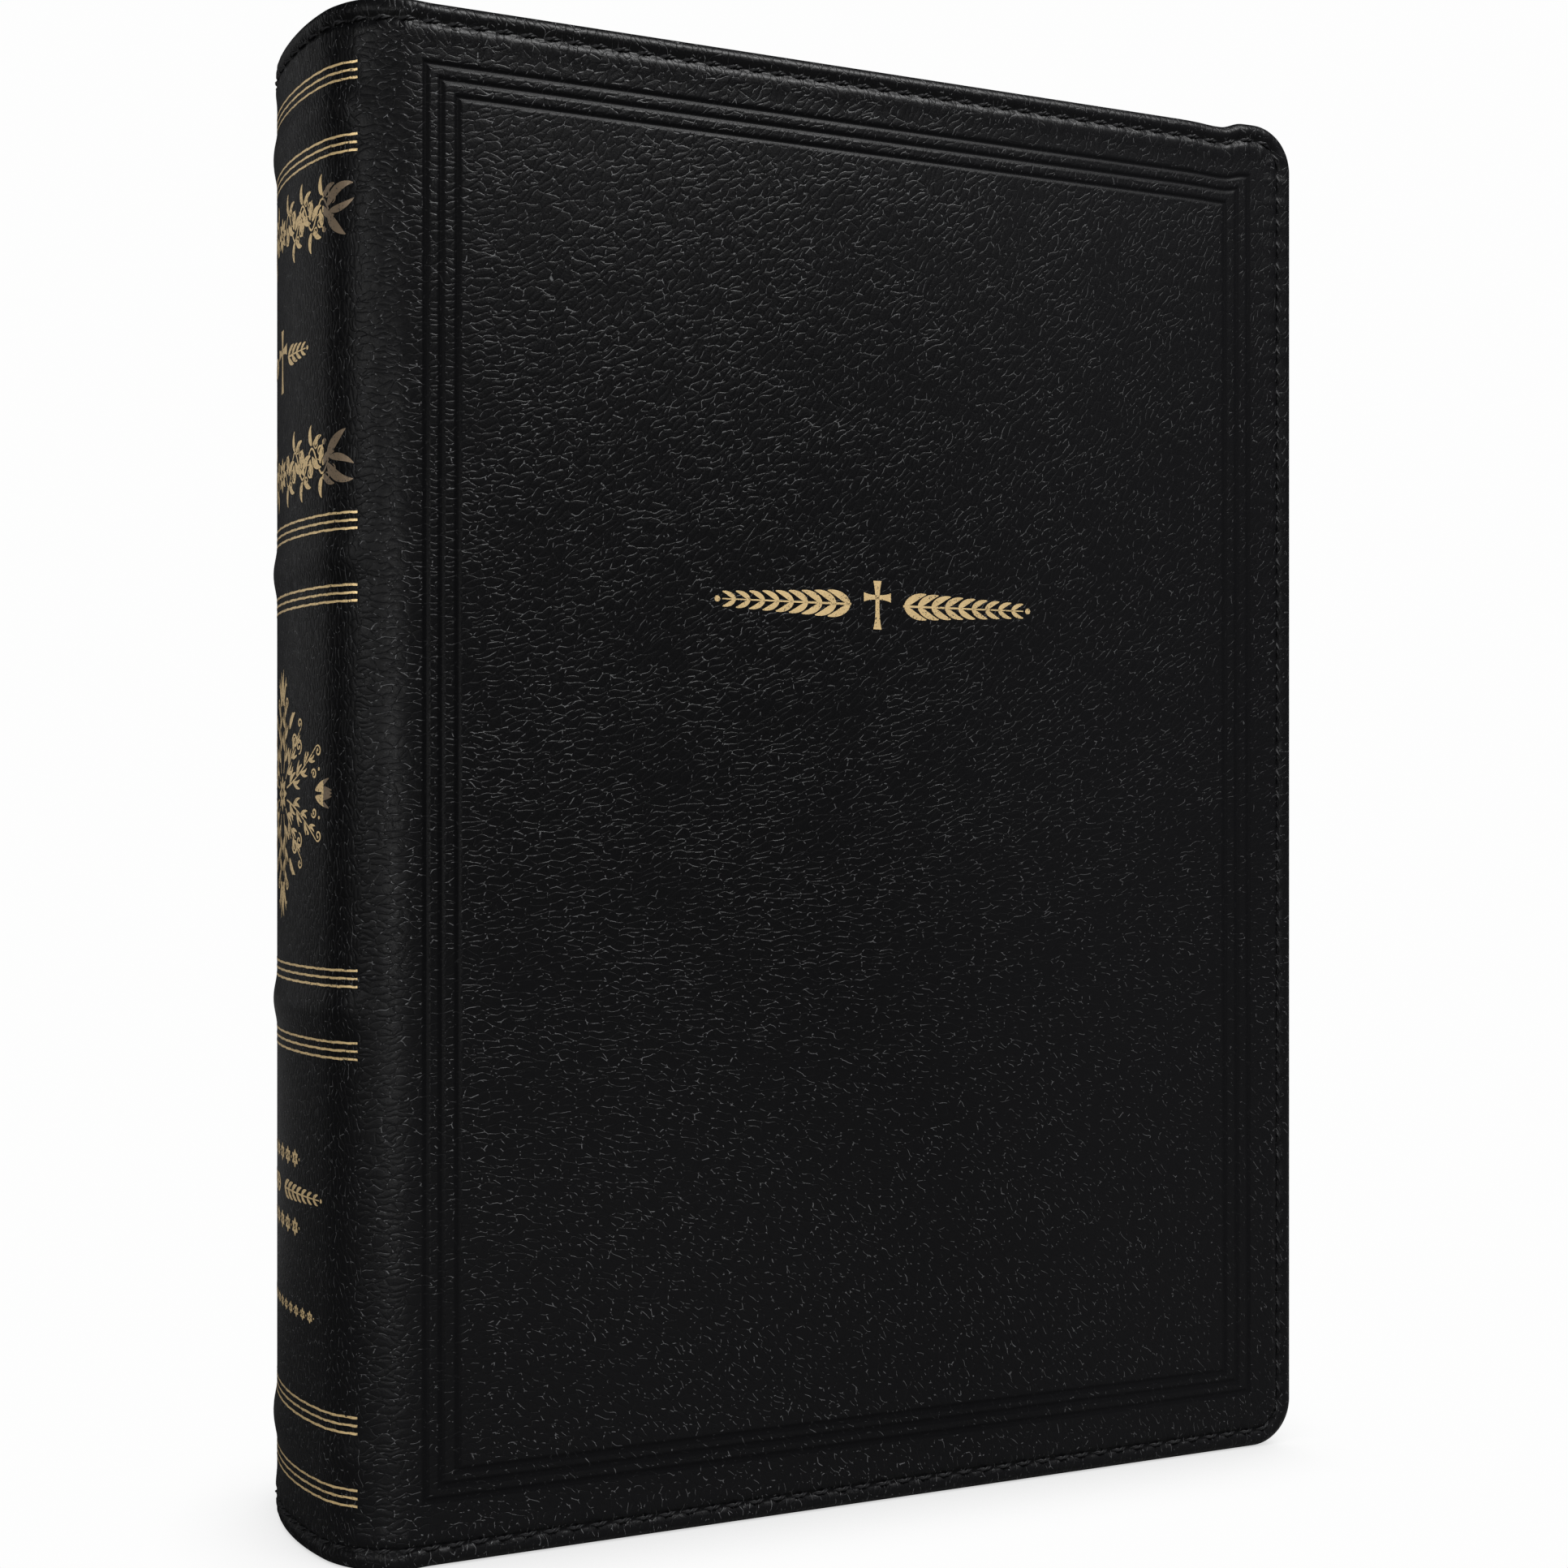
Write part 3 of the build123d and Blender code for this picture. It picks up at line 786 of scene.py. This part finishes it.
class Tooling:
    """Gold strokes drawn on the unrolled leather, in millimetres from a centre."""

    # takes_painted_shade: strokes far round the spine's turn get the darker painted-shade foil
    def __init__(self, centre_s, centre_z, takes_painted_shade=True):
        self.centre = (centre_s, centre_z)
        self.takes_painted_shade = takes_painted_shade
        self.strokes = []

    def stroke(self, path, widths, across=2):
        """A line of varying width along a path of (u, v) points."""
        path = np.asarray(path, float)
        widths = np.broadcast_to(np.asarray(widths, float), len(path))
        along = np.gradient(path, axis=0)
        along /= np.maximum(np.linalg.norm(along, axis=1, keepdims=True), 1e-9)
        side = np.stack([-along[:, 1], along[:, 0]], -1)
        offsets = np.linspace(-0.5, 0.5, across + 1)
        self.strokes.append(path[:, None] + side[:, None] * (offsets[:, None] * widths[:, None, None]))

    def curve(self, start, angle, length, bend, width, steps=14, point=0.75):
        """A leaf: starts at a point, leaves at an angle, turns by bend degrees and tapers at both ends."""
        share = np.linspace(0, 1, steps)
        path = walk(start, np.radians(angle + bend * share), length / (steps - 1))
        self.stroke(path, 0.14 + width * np.sin(math.pi * share**point) ** 0.9, across=4)

    def scroll(self, start, angle, size, turns=1.15, hand=1, width=0.5):
        """A tendril that curls up into a spiral with a round end."""
        share = np.linspace(0, 1, 34)
        radius = size * (1 - 0.78 * share)
        heading = np.radians(angle) + hand * 2 * math.pi * turns * share
        path = walk(start, heading, radius * 2 * math.pi * turns / 33)
        self.stroke(path, width * (0.45 + 0.55 * np.sin(math.pi * share**0.8)))
        self.dot(path[-1], width * 0.75)

    def dot(self, centre, radius):
        share = np.linspace(-1, 1, 9)
        path = np.stack([centre[0] + radius * share, centre[1] + 0 * share], -1)
        self.stroke(path, 2 * radius * np.sqrt(np.clip(1 - share**2, 0.002, 1)), across=4)

    def leaf(self, start, angle, length, bend, width):
        """Leaf split along its middle vein."""
        self.curve(start, angle + 7, 0.94 * length, bend + 14, 0.52 * width, point=0.8)
        self.curve(start, angle - 9, length, bend - 6, 0.5 * width, point=0.8)

    def spray(self, start, angle, length, bend, leaf, hand=1, leaves=5):
        """Curved stem with leaves on both sides and a scroll at its tip."""
        share = np.linspace(0, 1, 24)
        path = walk(start, np.radians(angle + bend * share), length / 23)
        self.stroke(path, 0.34 - 0.1 * share)
        for number in range(leaves):
            place = 3 + int(number * 18 / leaves)
            side = hand if number % 2 else -hand
            size = leaf * (1 - 0.45 * number / leaves)
            lean = angle + bend * share[place] + side * 48
            self.leaf(path[place], lean, size, -side * 42, 0.3 * size)
        self.scroll(path[-1], angle + bend, 0.26 * leaf, hand=hand, width=0.34)

    def vine(self, start, length, height, waves):
        """Level waving stem; a scroll curls into each wave and leaves grow out of its crests."""
        share = np.linspace(0, 1, 90)
        u = start + length * share
        v = 0.3 * height * np.sin(math.pi * waves * share) * (1 - 0.25 * share)
        self.stroke(np.stack([u, v], -1), 0.36)
        for number in range(waves):
            side = 1 if number % 2 == 0 else -1
            reach = length / waves
            up = side * height
            crest = (start + length * (number + 0.5) / waves, 0.3 * up)
            root = (start + length * (number + 0.05) / waves, -0.04 * up)
            tendril = (crest[0] + 0.1 * reach, crest[1])
            self.scroll(root, 25 * side, 0.15 * height, turns=1.2, hand=-side, width=0.36)
            self.scroll(tendril, 70 * side, 0.1 * height, turns=1.1, hand=-side, width=0.3)
            # Each leaf: where it starts, its angle, length, bend and width
            for leaf_u, leaf_v, angle, size, bend, width in (
                (crest[0], crest[1], 130, 0.40, -80, 0.11),
                (crest[0] + 0.2 * reach, crest[1] * 0.9, 60, 0.34, -60, 0.10),
                (root[0] + 0.5 * reach, 0.1 * up, -66, 0.42, 70, 0.12),
                (root[0] + 0.3 * reach, 0.06 * up, -100, 0.36, 46, 0.10),
            ):
                self.curve((leaf_u, leaf_v), side * angle, size * height, side * bend, width * height)
            self.dot((crest[0] + 0.44 * reach, 0.36 * up), 0.032 * height)

    def laurel(self, start, length, height, pairs):
        """Straight twig with pairs of leaves that shorten towards a dot at its tip."""
        stem = np.stack([np.linspace(start, start + length, 20), np.zeros(20)], -1)
        self.stroke(stem, np.linspace(0.4, 0.2, 20))
        for number in range(pairs):
            place = start + length * (number + 0.1) / pairs
            size = height * (1 - 0.5 * number / pairs)
            for side in (1, -1):
                self.curve((place, 0), side * 46, 0.66 * size, -side * 40, 0.15 * size)
        self.dot((start + length + 0.12 * height, 0), 0.07 * height)

    def blossom(self, centre, size, petals=6, start=90):
        """Round flower with an open middle."""
        for number in range(petals):
            angle = start + 360 * number / petals
            root = (centre[0] + 0.28 * size * math.cos(math.radians(angle)),
                    centre[1] + 0.28 * size * math.sin(math.radians(angle)))
            self.curve(root, angle, 0.72 * size, 0, 0.5 * size * 6 / petals, steps=9, point=0.65)
        self.dot(centre, 0.16 * size)

    def mirrored(self, flip_u=True, flip_v=False):
        """Repeat every stroke on the other side."""
        scale = np.array([-1 if flip_u else 1, -1 if flip_v else 1])
        self.strokes += [stroke * scale for stroke in self.strokes]

    def scaled(self, share_u, share_v):
        """Stretch what is drawn so far."""
        self.strokes = [stroke * (share_u, share_v) for stroke in self.strokes]


def foil_mesh(name, toolings, keep=None):
    """Foil lying on the leather; keep picks the quads by the unrolled place of their middle."""
    points, faces, finishes, first = [], [], [], 0
    for tooling in toolings:
        for stroke in tooling.strokes:
            s = stroke[..., 0] + tooling.centre[0]
            z = stroke[..., 1] + tooling.centre[1]
            quads = grid_faces(*s.shape, first=first)
            middle = (s[:-1, :-1] + s[1:, 1:]).ravel() / 2
            if keep is not None:
                quads = quads[keep(middle)]
                middle = middle[keep(middle)]
            points.append(surface(s, z, lift=FOIL_LIFT).reshape(-1, 3))
            faces.append(quads)
            # Ornament strokes far round the turn take the darker foil, a painted shade
            finishes.append((np.abs(middle + HALF_ARC) > PAINTED_SHADE_FROM) & (middle < 0) & tooling.takes_painted_shade)
            first += s.size
    faces = np.concatenate(faces).tolist()
    piece = new_object(name, np.concatenate(points), faces, [foil, painted_shade_foil], np.concatenate(finishes))
    weld(piece, 0.0005)
    face_outwards(piece)
    return piece


def outward(point):
    """Rough outward direction at a point of the case, in plan."""
    x, y = point.x / MM, point.y / MM
    if x > SHOULDER_X:
        return 0.0, y
    return x - SHOULDER_X - SHOULDER_RADIUS, y


def face_outwards(piece):
    """Turn faces so that they look away from the middle of the book."""
    work = bmesh.new()
    work.from_mesh(piece.data)
    for face in work.faces:
        away_x, away_y = outward(face.calc_center_median())
        if face.normal.x * away_x + face.normal.y * away_y < 0:
            face.normal_flip()
    work.to_mesh(piece.data)
    work.free()


FOIL_LIFT = 0.035
RULE_HALF_ARC = 26.0
# Distance round the spine from its middle, in millimetres, past which ornaments get the painted-shade foil
PAINTED_SHADE_FROM = 18.6
RULE_WIDTH = 0.37
RULE_PITCH = 1.27


def rules(offsets):
    """Triple gold rules on both sides of each raised band."""
    tooling = Tooling(-HALF_ARC, 0, takes_painted_shade=False)
    for level in BAND_HEIGHTS:
        for side in (-1, 1):
            for offset in (-RULE_PITCH, 0, RULE_PITCH):
                u = np.linspace(-RULE_HALF_ARC, RULE_HALF_ARC, 121)
                wobble = 0.03 * np.sin(u * 1.7 + level + offset) + 0.02 * np.sin(u * 4.1 + side)
                v = level + side * offsets[side] + offset + wobble
                width = RULE_WIDTH * (1 + 0.18 * np.sin(u * 2.3 + offset * 5) * np.sin(u * 0.9 + level))
                tooling.stroke(np.stack([u, v], -1), width)
    return tooling


def flower_band(level, upside_down):
    """Band of flowers and a leafy vine right across the spine."""
    band = Tooling(-HALF_ARC, level)
    band.vine(2.6, 17.4, 9.0, 5)
    band.blossom((10.9, 0.1), 1.9, 6, 60)
    band.curve((19.8, 0.6), 62, 6.6, -72, 1.5)
    band.curve((19.8, -0.6), -58, 5.6, 30, 1.5)
    band.curve((20.2, -0.2), -4, 5.4, 40, 1.1)
    band.scroll((21.0, 0.9), 20, 0.8, hand=1, width=0.34)
    band.scroll((19.4, 2.6), 100, 0.55, hand=1, width=0.3)
    band.scroll((19.4, -2.8), -100, 0.55, hand=-1, width=0.3)
    band.mirrored()
    band.blossom((0, 0.2), 2.9, 8, 90)
    if upside_down:
        band.scaled(1, -1)
    return band


def medallion(level):
    """Pointed lozenge of leafy sprays, the same in all four quarters."""
    shape = Tooling(-HALF_ARC, level)
    shape.spray((1.0, 3.4), 74, 14.5, 34, 3.8, hand=1, leaves=6)
    shape.spray((3.2, 1.0), 12, 14.5, 30, 3.8, hand=-1, leaves=6)
    shape.spray((2.4, 2.4), 47, 11.5, -4, 3.6, hand=1, leaves=5)
    shape.scroll((6.4, 8.6), 74, 1.3, turns=1.2, hand=-1, width=0.45)
    shape.scroll((9.6, 6.4), 10, 1.3, turns=1.2, hand=1, width=0.45)
    shape.leaf((16.0, 0.5), 18, 4.8, -14, 1.6)
    shape.leaf((0.5, 14.6), 66, 5.2, 22, 1.6)
    shape.scroll((14.6, 3.2), 70, 0.9, hand=-1, width=0.36)
    shape.scroll((3.4, 14.2), 20, 0.9, hand=1, width=0.36)
    shape.curve((5.0, 10.6), 66, 4.0, -50, 1.1)
    shape.dot((13.4, 6.4), 0.34)
    shape.dot((6.6, 13.0), 0.34)
    shape.dot((17.2, 3.9), 0.28)
    shape.dot((3.0, 18.0), 0.28)
    shape.mirrored(flip_u=True)
    shape.mirrored(flip_u=False, flip_v=True)
    for side in (1, -1):
        shape.leaf((0, side * 15.8), side * 90, 5.0, 0, 1.7)
        shape.curve((18.0 * side, 0), 90 - side * 90, 2.8, 0, 1.0)
    shape.blossom((0, 0), 3.0, 8, 90)
    return shape


def small_cross(centre_s, level, size):
    """Plain cross with flared ends."""
    cross = Tooling(centre_s, level)
    arm = np.linspace(0, 1, 12)
    upright = np.stack([0 * arm, size * (arm - 0.5)], -1)
    bar = np.stack([size * 0.62 * (arm - 0.5), 0 * arm + size * 0.16], -1)
    flare = size * (0.09 + 0.10 * np.abs(2 * arm - 1) ** 2.5)
    cross.stroke(upright, flare)
    cross.stroke(bar, flare)
    return cross


def twigs(centre_s, level, start, length, height, pairs):
    """Two laurel twigs pointing away from the middle."""
    line = Tooling(centre_s, level)
    line.laurel(start, length, height, pairs)
    line.mirrored()
    return line


def rosettes(centre_s, level, reach, size, pitch):
    """Level row of small flowers and dots."""
    row = Tooling(centre_s, level)
    for number in range(int(reach / pitch) + 1):
        row.blossom((number * pitch, 0), size, 6, 90)
        row.dot(((number + 0.5) * pitch, 0), 0.16 * size)
    row.mirrored()
    return row


spine_tooling = [
    rules({-1: 5.85, 1: 5.6}),
    flower_band(215.4, False),
    flower_band(175.8, True),
    medallion(122.6),
    small_cross(-HALF_ARC, 194.5, 10.5),
    twigs(-HALF_ARC, 194.6, 3.9, 8.6, 5.4, 4),
    rosettes(-HALF_ARC, 63.0, 11.0, 1.5, 3.9),
    twigs(-HALF_ARC, 57.4, 1.6, 15.6, 5.0, 7),
    rosettes(-HALF_ARC, 51.8, 11.0, 1.5, 3.9),
    rosettes(-HALF_ARC, 38.2, 14.0, 1.0, 2.8),
]
spine_foil = foil_mesh("spine_foil", spine_tooling, keep=lambda s: np.abs(s + HALF_ARC) < WIDE_HALF_ARC)
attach(spine_foil, "spine")
front_foil = foil_mesh("front_shoulder_foil", spine_tooling, keep=lambda s: s + HALF_ARC >= WIDE_HALF_ARC)
bend_shoulder(mirrored(front_foil, "back_shoulder_foil"), "back")
bend_shoulder(front_foil, "front")
TITLE_S, TITLE_Z = 79.8, 155.3
cover_tooling = [small_cross(TITLE_S, TITLE_Z, 8.4), twigs(TITLE_S, TITLE_Z, 5.0, 24.0, 7.4, 9)]
cover_foil = foil_mesh("front_cover_foil", cover_tooling)
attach(cover_foil, "front_cover")


# ---- Inside the covers
LINER_INSET = 5.5
LINER_START = 5.0
LINER_PROUD = 0.07
FOIL_PROUD = 0.012


def rounded_plate(x0, x1, z0, z1, corner, steps=9):
    """Outline with round corners on the fore-edge side, anticlockwise in X and Z."""
    outline_points = [(x0, z0)]
    for centre_z, start in ((z0 + corner, -90), (z1 - corner, 0)):
        for step in range(steps):
            angle = math.radians(start + 90 * step / (steps - 1))
            x = x1 - corner + corner * math.cos(angle)
            outline_points.append((x, centre_z + corner * math.sin(angle)))
    outline_points.append((x0, z1))
    return np.array(outline_points)


def plate_mesh(name, outline_points, y0, y1, material):
    """Thin plate between two Y levels."""
    layers = [np.insert(outline_points, 1, level, axis=1) for level in (y0, y1)]
    faces = tube_faces(2, len(outline_points))
    plate = new_object(name, np.concatenate(layers), faces, [material], flip=True)
    plate.data.shade_flat()
    return plate


inside_y = FACE_Y + COVER_THICKNESS
liner_end = FORE_EDGE_X - LINER_INSET
liner_outline = rounded_plate(SHOULDER_X + LINER_START, liner_end, LINER_INSET, HEIGHT - LINER_INSET, 4.0)
front_liner = plate_mesh("front_liner", liner_outline, inside_y - 0.3, inside_y + LINER_PROUD, lining)


def inner_gilt_line(inset, width):
    """Gold line round the lining, on the inside of the front cover."""
    corners = []
    for reach in (inset, inset + width):
        x0, x1 = SHOULDER_X + LINER_START + reach, FORE_EDGE_X - LINER_INSET - reach
        z0, z1 = LINER_INSET + reach, HEIGHT - LINER_INSET - reach
        corners += [(x0, z0), (x1, z0), (x1, z1), (x0, z1)]
    points = np.insert(np.array(corners), 1, inside_y + LINER_PROUD + FOIL_PROUD, axis=1)
    faces = [(j, j + 4, (j + 1) % 4 + 4, (j + 1) % 4) for j in range(4)]
    return new_object(f"front_inner_gilt_{inset:.0f}", points, faces, [foil])


inner_lines = [inner_gilt_line(4.0, 0.7), inner_gilt_line(6.0, 0.3)]
for piece in [front_liner] + inner_lines:
    copy = mirrored(piece, piece.name.replace("front", "back"))
    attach(copy, "back_cover")
    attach(piece, "front_cover")
    if piece is front_liner:
        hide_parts("front_cover_liner")
        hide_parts("back_cover_liner")

# ---- Text block
LAYERS = 22
LEAF_GROOVE = 0.11
PAGE_CORNER = 6.0
MIDDLE_GAP = 0.06
SHEET_THICKNESS = 0.05
BACK_CORNER_X = SHOULDER_X + 2.0


def arc_through(end_x, end_y, middle_x, y):
    """X on the arc through (end_x, +-end_y) and (middle_x, 0), at y."""
    sag = end_x - middle_x
    radius = (end_y**2 + sag**2) / (2 * abs(sag))
    return middle_x + math.copysign(radius - math.sqrt(radius**2 - y**2), sag)


first_low, first_high = box_mm("section_1")
middle_low, middle_high = box_mm("section_3")
HALF_BLOCK = -first_low.y
BLOCK_FORE_EDGE = first_high.x
GUTTER_X = arc_through(BACK_CORNER_X, HALF_BLOCK, middle_low.x, 0)
HOLLOW_X = BLOCK_FORE_EDGE - 4.0


def section_mesh(number):
    """Stack of leaves with round fore-edge corners; fine grooves part the leaves."""
    low, high = box_mm(f"section_{number}")
    points = []
    # The two middle sections close on each other, with only the ribbon between them
    start_y = MIDDLE_GAP if number == 4 else low.y
    end_y = -MIDDLE_GAP if number == 3 else high.y
    levels = np.linspace(start_y, end_y, LAYERS + 1)
    spread = 0.22 * (end_y - start_y) / LAYERS
    rings = []
    for number_in_stack, (start, end) in enumerate(zip(levels[:-1], levels[1:])):
        wander = 0.05 * rng.standard_normal()
        profile = ((start, LEAF_GROOVE), (start + spread, 0), (end - spread, 0), (end, LEAF_GROOVE))
        for level, inset in profile:
            if number_in_stack and level == start:
                continue
            rings.append((level, inset + abs(wander)))
    for level, inset in rings:
        x0 = arc_through(BACK_CORNER_X, HALF_BLOCK, GUTTER_X, level) + inset
        x1 = arc_through(BLOCK_FORE_EDGE, HALF_BLOCK, HOLLOW_X, level) - inset
        ring = rounded_plate(x0, x1, low.z + inset, high.z - inset, PAGE_CORNER, 13)
        points.append(np.insert(ring, 1, level, axis=1))
    count = len(points[0])
    # Gilt on the three cut edges; paper on the folded back and the two outer leaves
    finishes = ([0] * (count - 1) + [1]) * (len(points) - 1) + [1, 1]
    faces = tube_faces(len(points), count)
    name = f"leaves_{number}"
    piece = new_object(name, np.concatenate(points), faces, [gilt, paper], finishes, flip=True)
    piece.data.shade_flat()
    return piece


for number in range(1, 7):
    leaves = section_mesh(number)
    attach(leaves, f"section_{number}")
    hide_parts(f"section_{number}")


def thicken(sheet):
    """Give a sheet its thickness, half to each side."""
    solid = sheet.modifiers.new("thickness", "SOLIDIFY")
    solid.thickness = SHEET_THICKNESS * MM
    solid.offset = 0
    return solid


def leaf_mesh(side):
    """Flyleaf, gently cockled, with round fore-edge corners: coated outside, plain paper inside."""
    low, high = box_mm(f"{side}_flyleaf")
    corner = PAGE_CORNER * (1 - np.cos(np.linspace(0, math.pi / 2, 12)))
    bottom, top = low.z + 0.2, high.z - 0.2
    straight = np.linspace(bottom + PAGE_CORNER, top - PAGE_CORNER, 60)[1:-1]
    zs = np.concatenate([bottom + corner, straight, top - corner[::-1]])
    short = PAGE_CORNER - np.minimum(np.minimum(zs - bottom, top - zs), PAGE_CORNER)
    edge = high.x - 0.4 - PAGE_CORNER + np.sqrt(PAGE_CORNER**2 - short**2)
    share, z = np.meshgrid(np.linspace(0, 1, 60), zs, indexing="ij")
    x = low.x + share * (edge - low.x)
    cockle = (high.y - low.y) * 0.32
    y = (low.y + high.y) / 2 + cockle * np.sin(x / 17 + z / 31) * np.cos(z / 23)
    name = f"{side}_flyleaf_sheet"
    faces = grid_faces(60, len(zs)).tolist()
    flip = side == "back"
    sheet = new_object(name, np.stack([x, y, z], -1), faces, [endpaper, paper], flip=flip)
    thicken(sheet).material_offset = 1
    return sheet


for side in ("front", "back"):
    flyleaf = leaf_mesh(side)
    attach(flyleaf, f"{side}_flyleaf")
    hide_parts(f"{side}_flyleaf")

# Rounded back: folded gatherings under the lining
lining_low = box_mm("block_lining")[0]
BACK_REACH = 20.5
FOLD_PITCH = 2.05


def back_arc(middle_x, y):
    """X on the rounded back whose middle is at middle_x."""
    return arc_through(BACK_CORNER_X - 1.5, 23.1, middle_x, y)


def back_mesh(name, z0, z1, material, front_x, groove):
    """Crescent behind the leaves, grooved where the gatherings meet."""
    columns = np.linspace(-BACK_REACH, BACK_REACH, 121)
    folds = groove * (0.5 - 0.5 * np.cos(columns * 2 * math.pi / FOLD_PITCH)) ** 0.5
    outer = np.array([back_arc(front_x, y) for y in columns]) + groove - folds
    inner = np.array([arc_through(BACK_CORNER_X, HALF_BLOCK, GUTTER_X, y) - 0.12 for y in columns])
    rings = [
        [(outer[i], y, z0), (inner[i], y, z0), (inner[i], y, z1), (outer[i], y, z1)]
        for i, y in enumerate(columns)
    ]
    return new_object(name, rings, tube_faces(len(columns), 4), [material], flip=True)


def flatten_with_block(piece):
    """Attach a piece of the block's back to the block_back body, with a mesh of its own."""
    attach(piece, "block_back")
    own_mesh(piece)


back_folds = back_mesh("back_folds", middle_low.z, middle_high.z, gilt, lining_low.x + 0.75, 0.25)
back_lining = back_mesh("back_lining", middle_low.z + 6, middle_high.z - 6, mull, lining_low.x, 0.0)
for piece, node in ((back_folds, "block_back"), (back_lining, "block_lining")):
    flatten_with_block(piece)
    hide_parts(node)


def end_band_mesh(name):
    """Silk-wrapped roll along the end of the rounded back."""
    low, high = box_mm(name)
    columns = np.linspace(-BACK_REACH, BACK_REACH, 260)
    turns = np.linspace(0, 2 * math.pi, 12, endpoint=False)
    middle_x = np.array([back_arc(lining_low.x + 1.7, y) for y in columns])
    radius = 1.1 + 0.12 * np.abs(np.cos(columns * math.pi / 0.8))
    middle_z = (low.z + high.z) / 2
    x = middle_x[:, None] + radius[:, None] * np.cos(turns)
    z = middle_z + radius[:, None] * 1.05 * np.sin(turns)
    y = np.repeat(columns[:, None], len(turns), axis=1)
    faces = tube_faces(len(columns), len(turns))
    return new_object(f"{name}_silk", np.stack([x, y, z], -1), faces, [bands], flip=True)


for name in ("headband", "tailband"):
    silk = end_band_mesh(name)
    flatten_with_block(silk)
    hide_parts(name)

# Ribbon marker, lying in the middle opening
ribbon_low, ribbon_high = box_mm("ribbon_marker")
heights = np.linspace(ribbon_low.z, ribbon_high.z, 90)
across = np.linspace(ribbon_low.x, ribbon_high.x, 7)
x, z = np.meshgrid(across, heights, indexing="ij")
x = x + 0.8 * np.sin(z / 34) + 0.3 * np.sin(z / 11)
y = np.full_like(x, (ribbon_low.y + ribbon_high.y) / 2) + 0.02 * np.sin(z / 5 + x)
ribbon = new_object("ribbon", np.stack([x, y, z], -1), grid_faces(7, 90).tolist(), [satin])
thicken(ribbon)
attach(ribbon, "section_3")
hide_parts("ribbon_marker")

# ---- Floor, camera and light
bpy.ops.mesh.primitive_plane_add(size=6)
floor = bpy.context.object
floor.name = "floor"
ground = new_material("floor")
floor.data.materials.append(
    ground.surface(Base_Color=(0.25, 0.25, 0.25, 1), Roughness=0.9, Specular_IOR_Level=0.0)
)
# Camera rays see the floor glow white, darkened by a painted contact shadow where ambient occlusion finds
# the book close; all other rays see a plain dark grey floor
openness = ground.add("AmbientOcclusion", {"Distance": 0.035}, output="AO", samples=8)
shade = ground.ramp(openness, 0.0, 0.9, 0.6, 0.985)
white_with_painted_shadow = ground.add("Emission", {"Color": (1, 1, 1, 1), "Strength": shade})
plain = ground.tree.nodes["Principled BSDF"].outputs[0]
ground.show_by_ray("Material Output", plain, white_with_painted_shadow)

SENSOR = 36.0
FOCAL_IN_WIDTHS = 1.3585
camera_data = bpy.data.cameras.new("camera")
camera_data.sensor_width = SENSOR
camera_data.lens = FOCAL_IN_WIDTHS * SENSOR
camera_data.shift_y = 0.0135
camera = bpy.data.objects.new("camera", camera_data)
camera.location = Vector((SHOULDER_X - 83.7, -358.7, 120.7)) * MM
camera.rotation_euler = (math.radians(90), 0, -math.atan2(0.4035, 0.9150))
show(camera)
bpy.context.scene.camera = camera


def soft_light(name, place, target, size, power):
    """Square soft light, aimed at a point; lengths in metres."""
    data = bpy.data.lights.new(name, "AREA")
    data.shape = "SQUARE"
    data.size = size
    data.energy = power
    lamp = bpy.data.objects.new(name, data)
    lamp.location = place
    lamp.rotation_euler = (Vector(target) - Vector(place)).to_track_quat("-Z", "Y").to_euler()
    show(lamp)


soft_light("key", (0.28, -0.52, 0.95), (0.0, 0.0, 0.12), 0.42, 15)
soft_light("behind", (-1.0, 0.95, 0.35), (-0.09, 0.0, 0.12), 1.1, 2.4)
soft_light("left", (-1.1, -0.55, 0.42), (-0.08, 0.0, 0.12), 0.5, 4)
soft_light("front", (-0.62, -1.15, 0.10), (0.0, 0.0, 0.10), 0.35, 4)
soft_light("back", (0.75, 1.2, 0.55), (0.0, 0.03, 0.12), 0.6, 8)

world = bpy.data.worlds.new("studio")
bpy.context.scene.world = world
sky = Nodes(world)
seen = sky.add("Background", {"Color": (0.985, 0.985, 0.985, 1)})
lit = sky.add("Background", {"Color": (0.035, 0.036, 0.04, 1)})
sky.show_by_ray("World Output", lit, seen)
bpy.context.scene.view_settings.view_transform = "Standard"
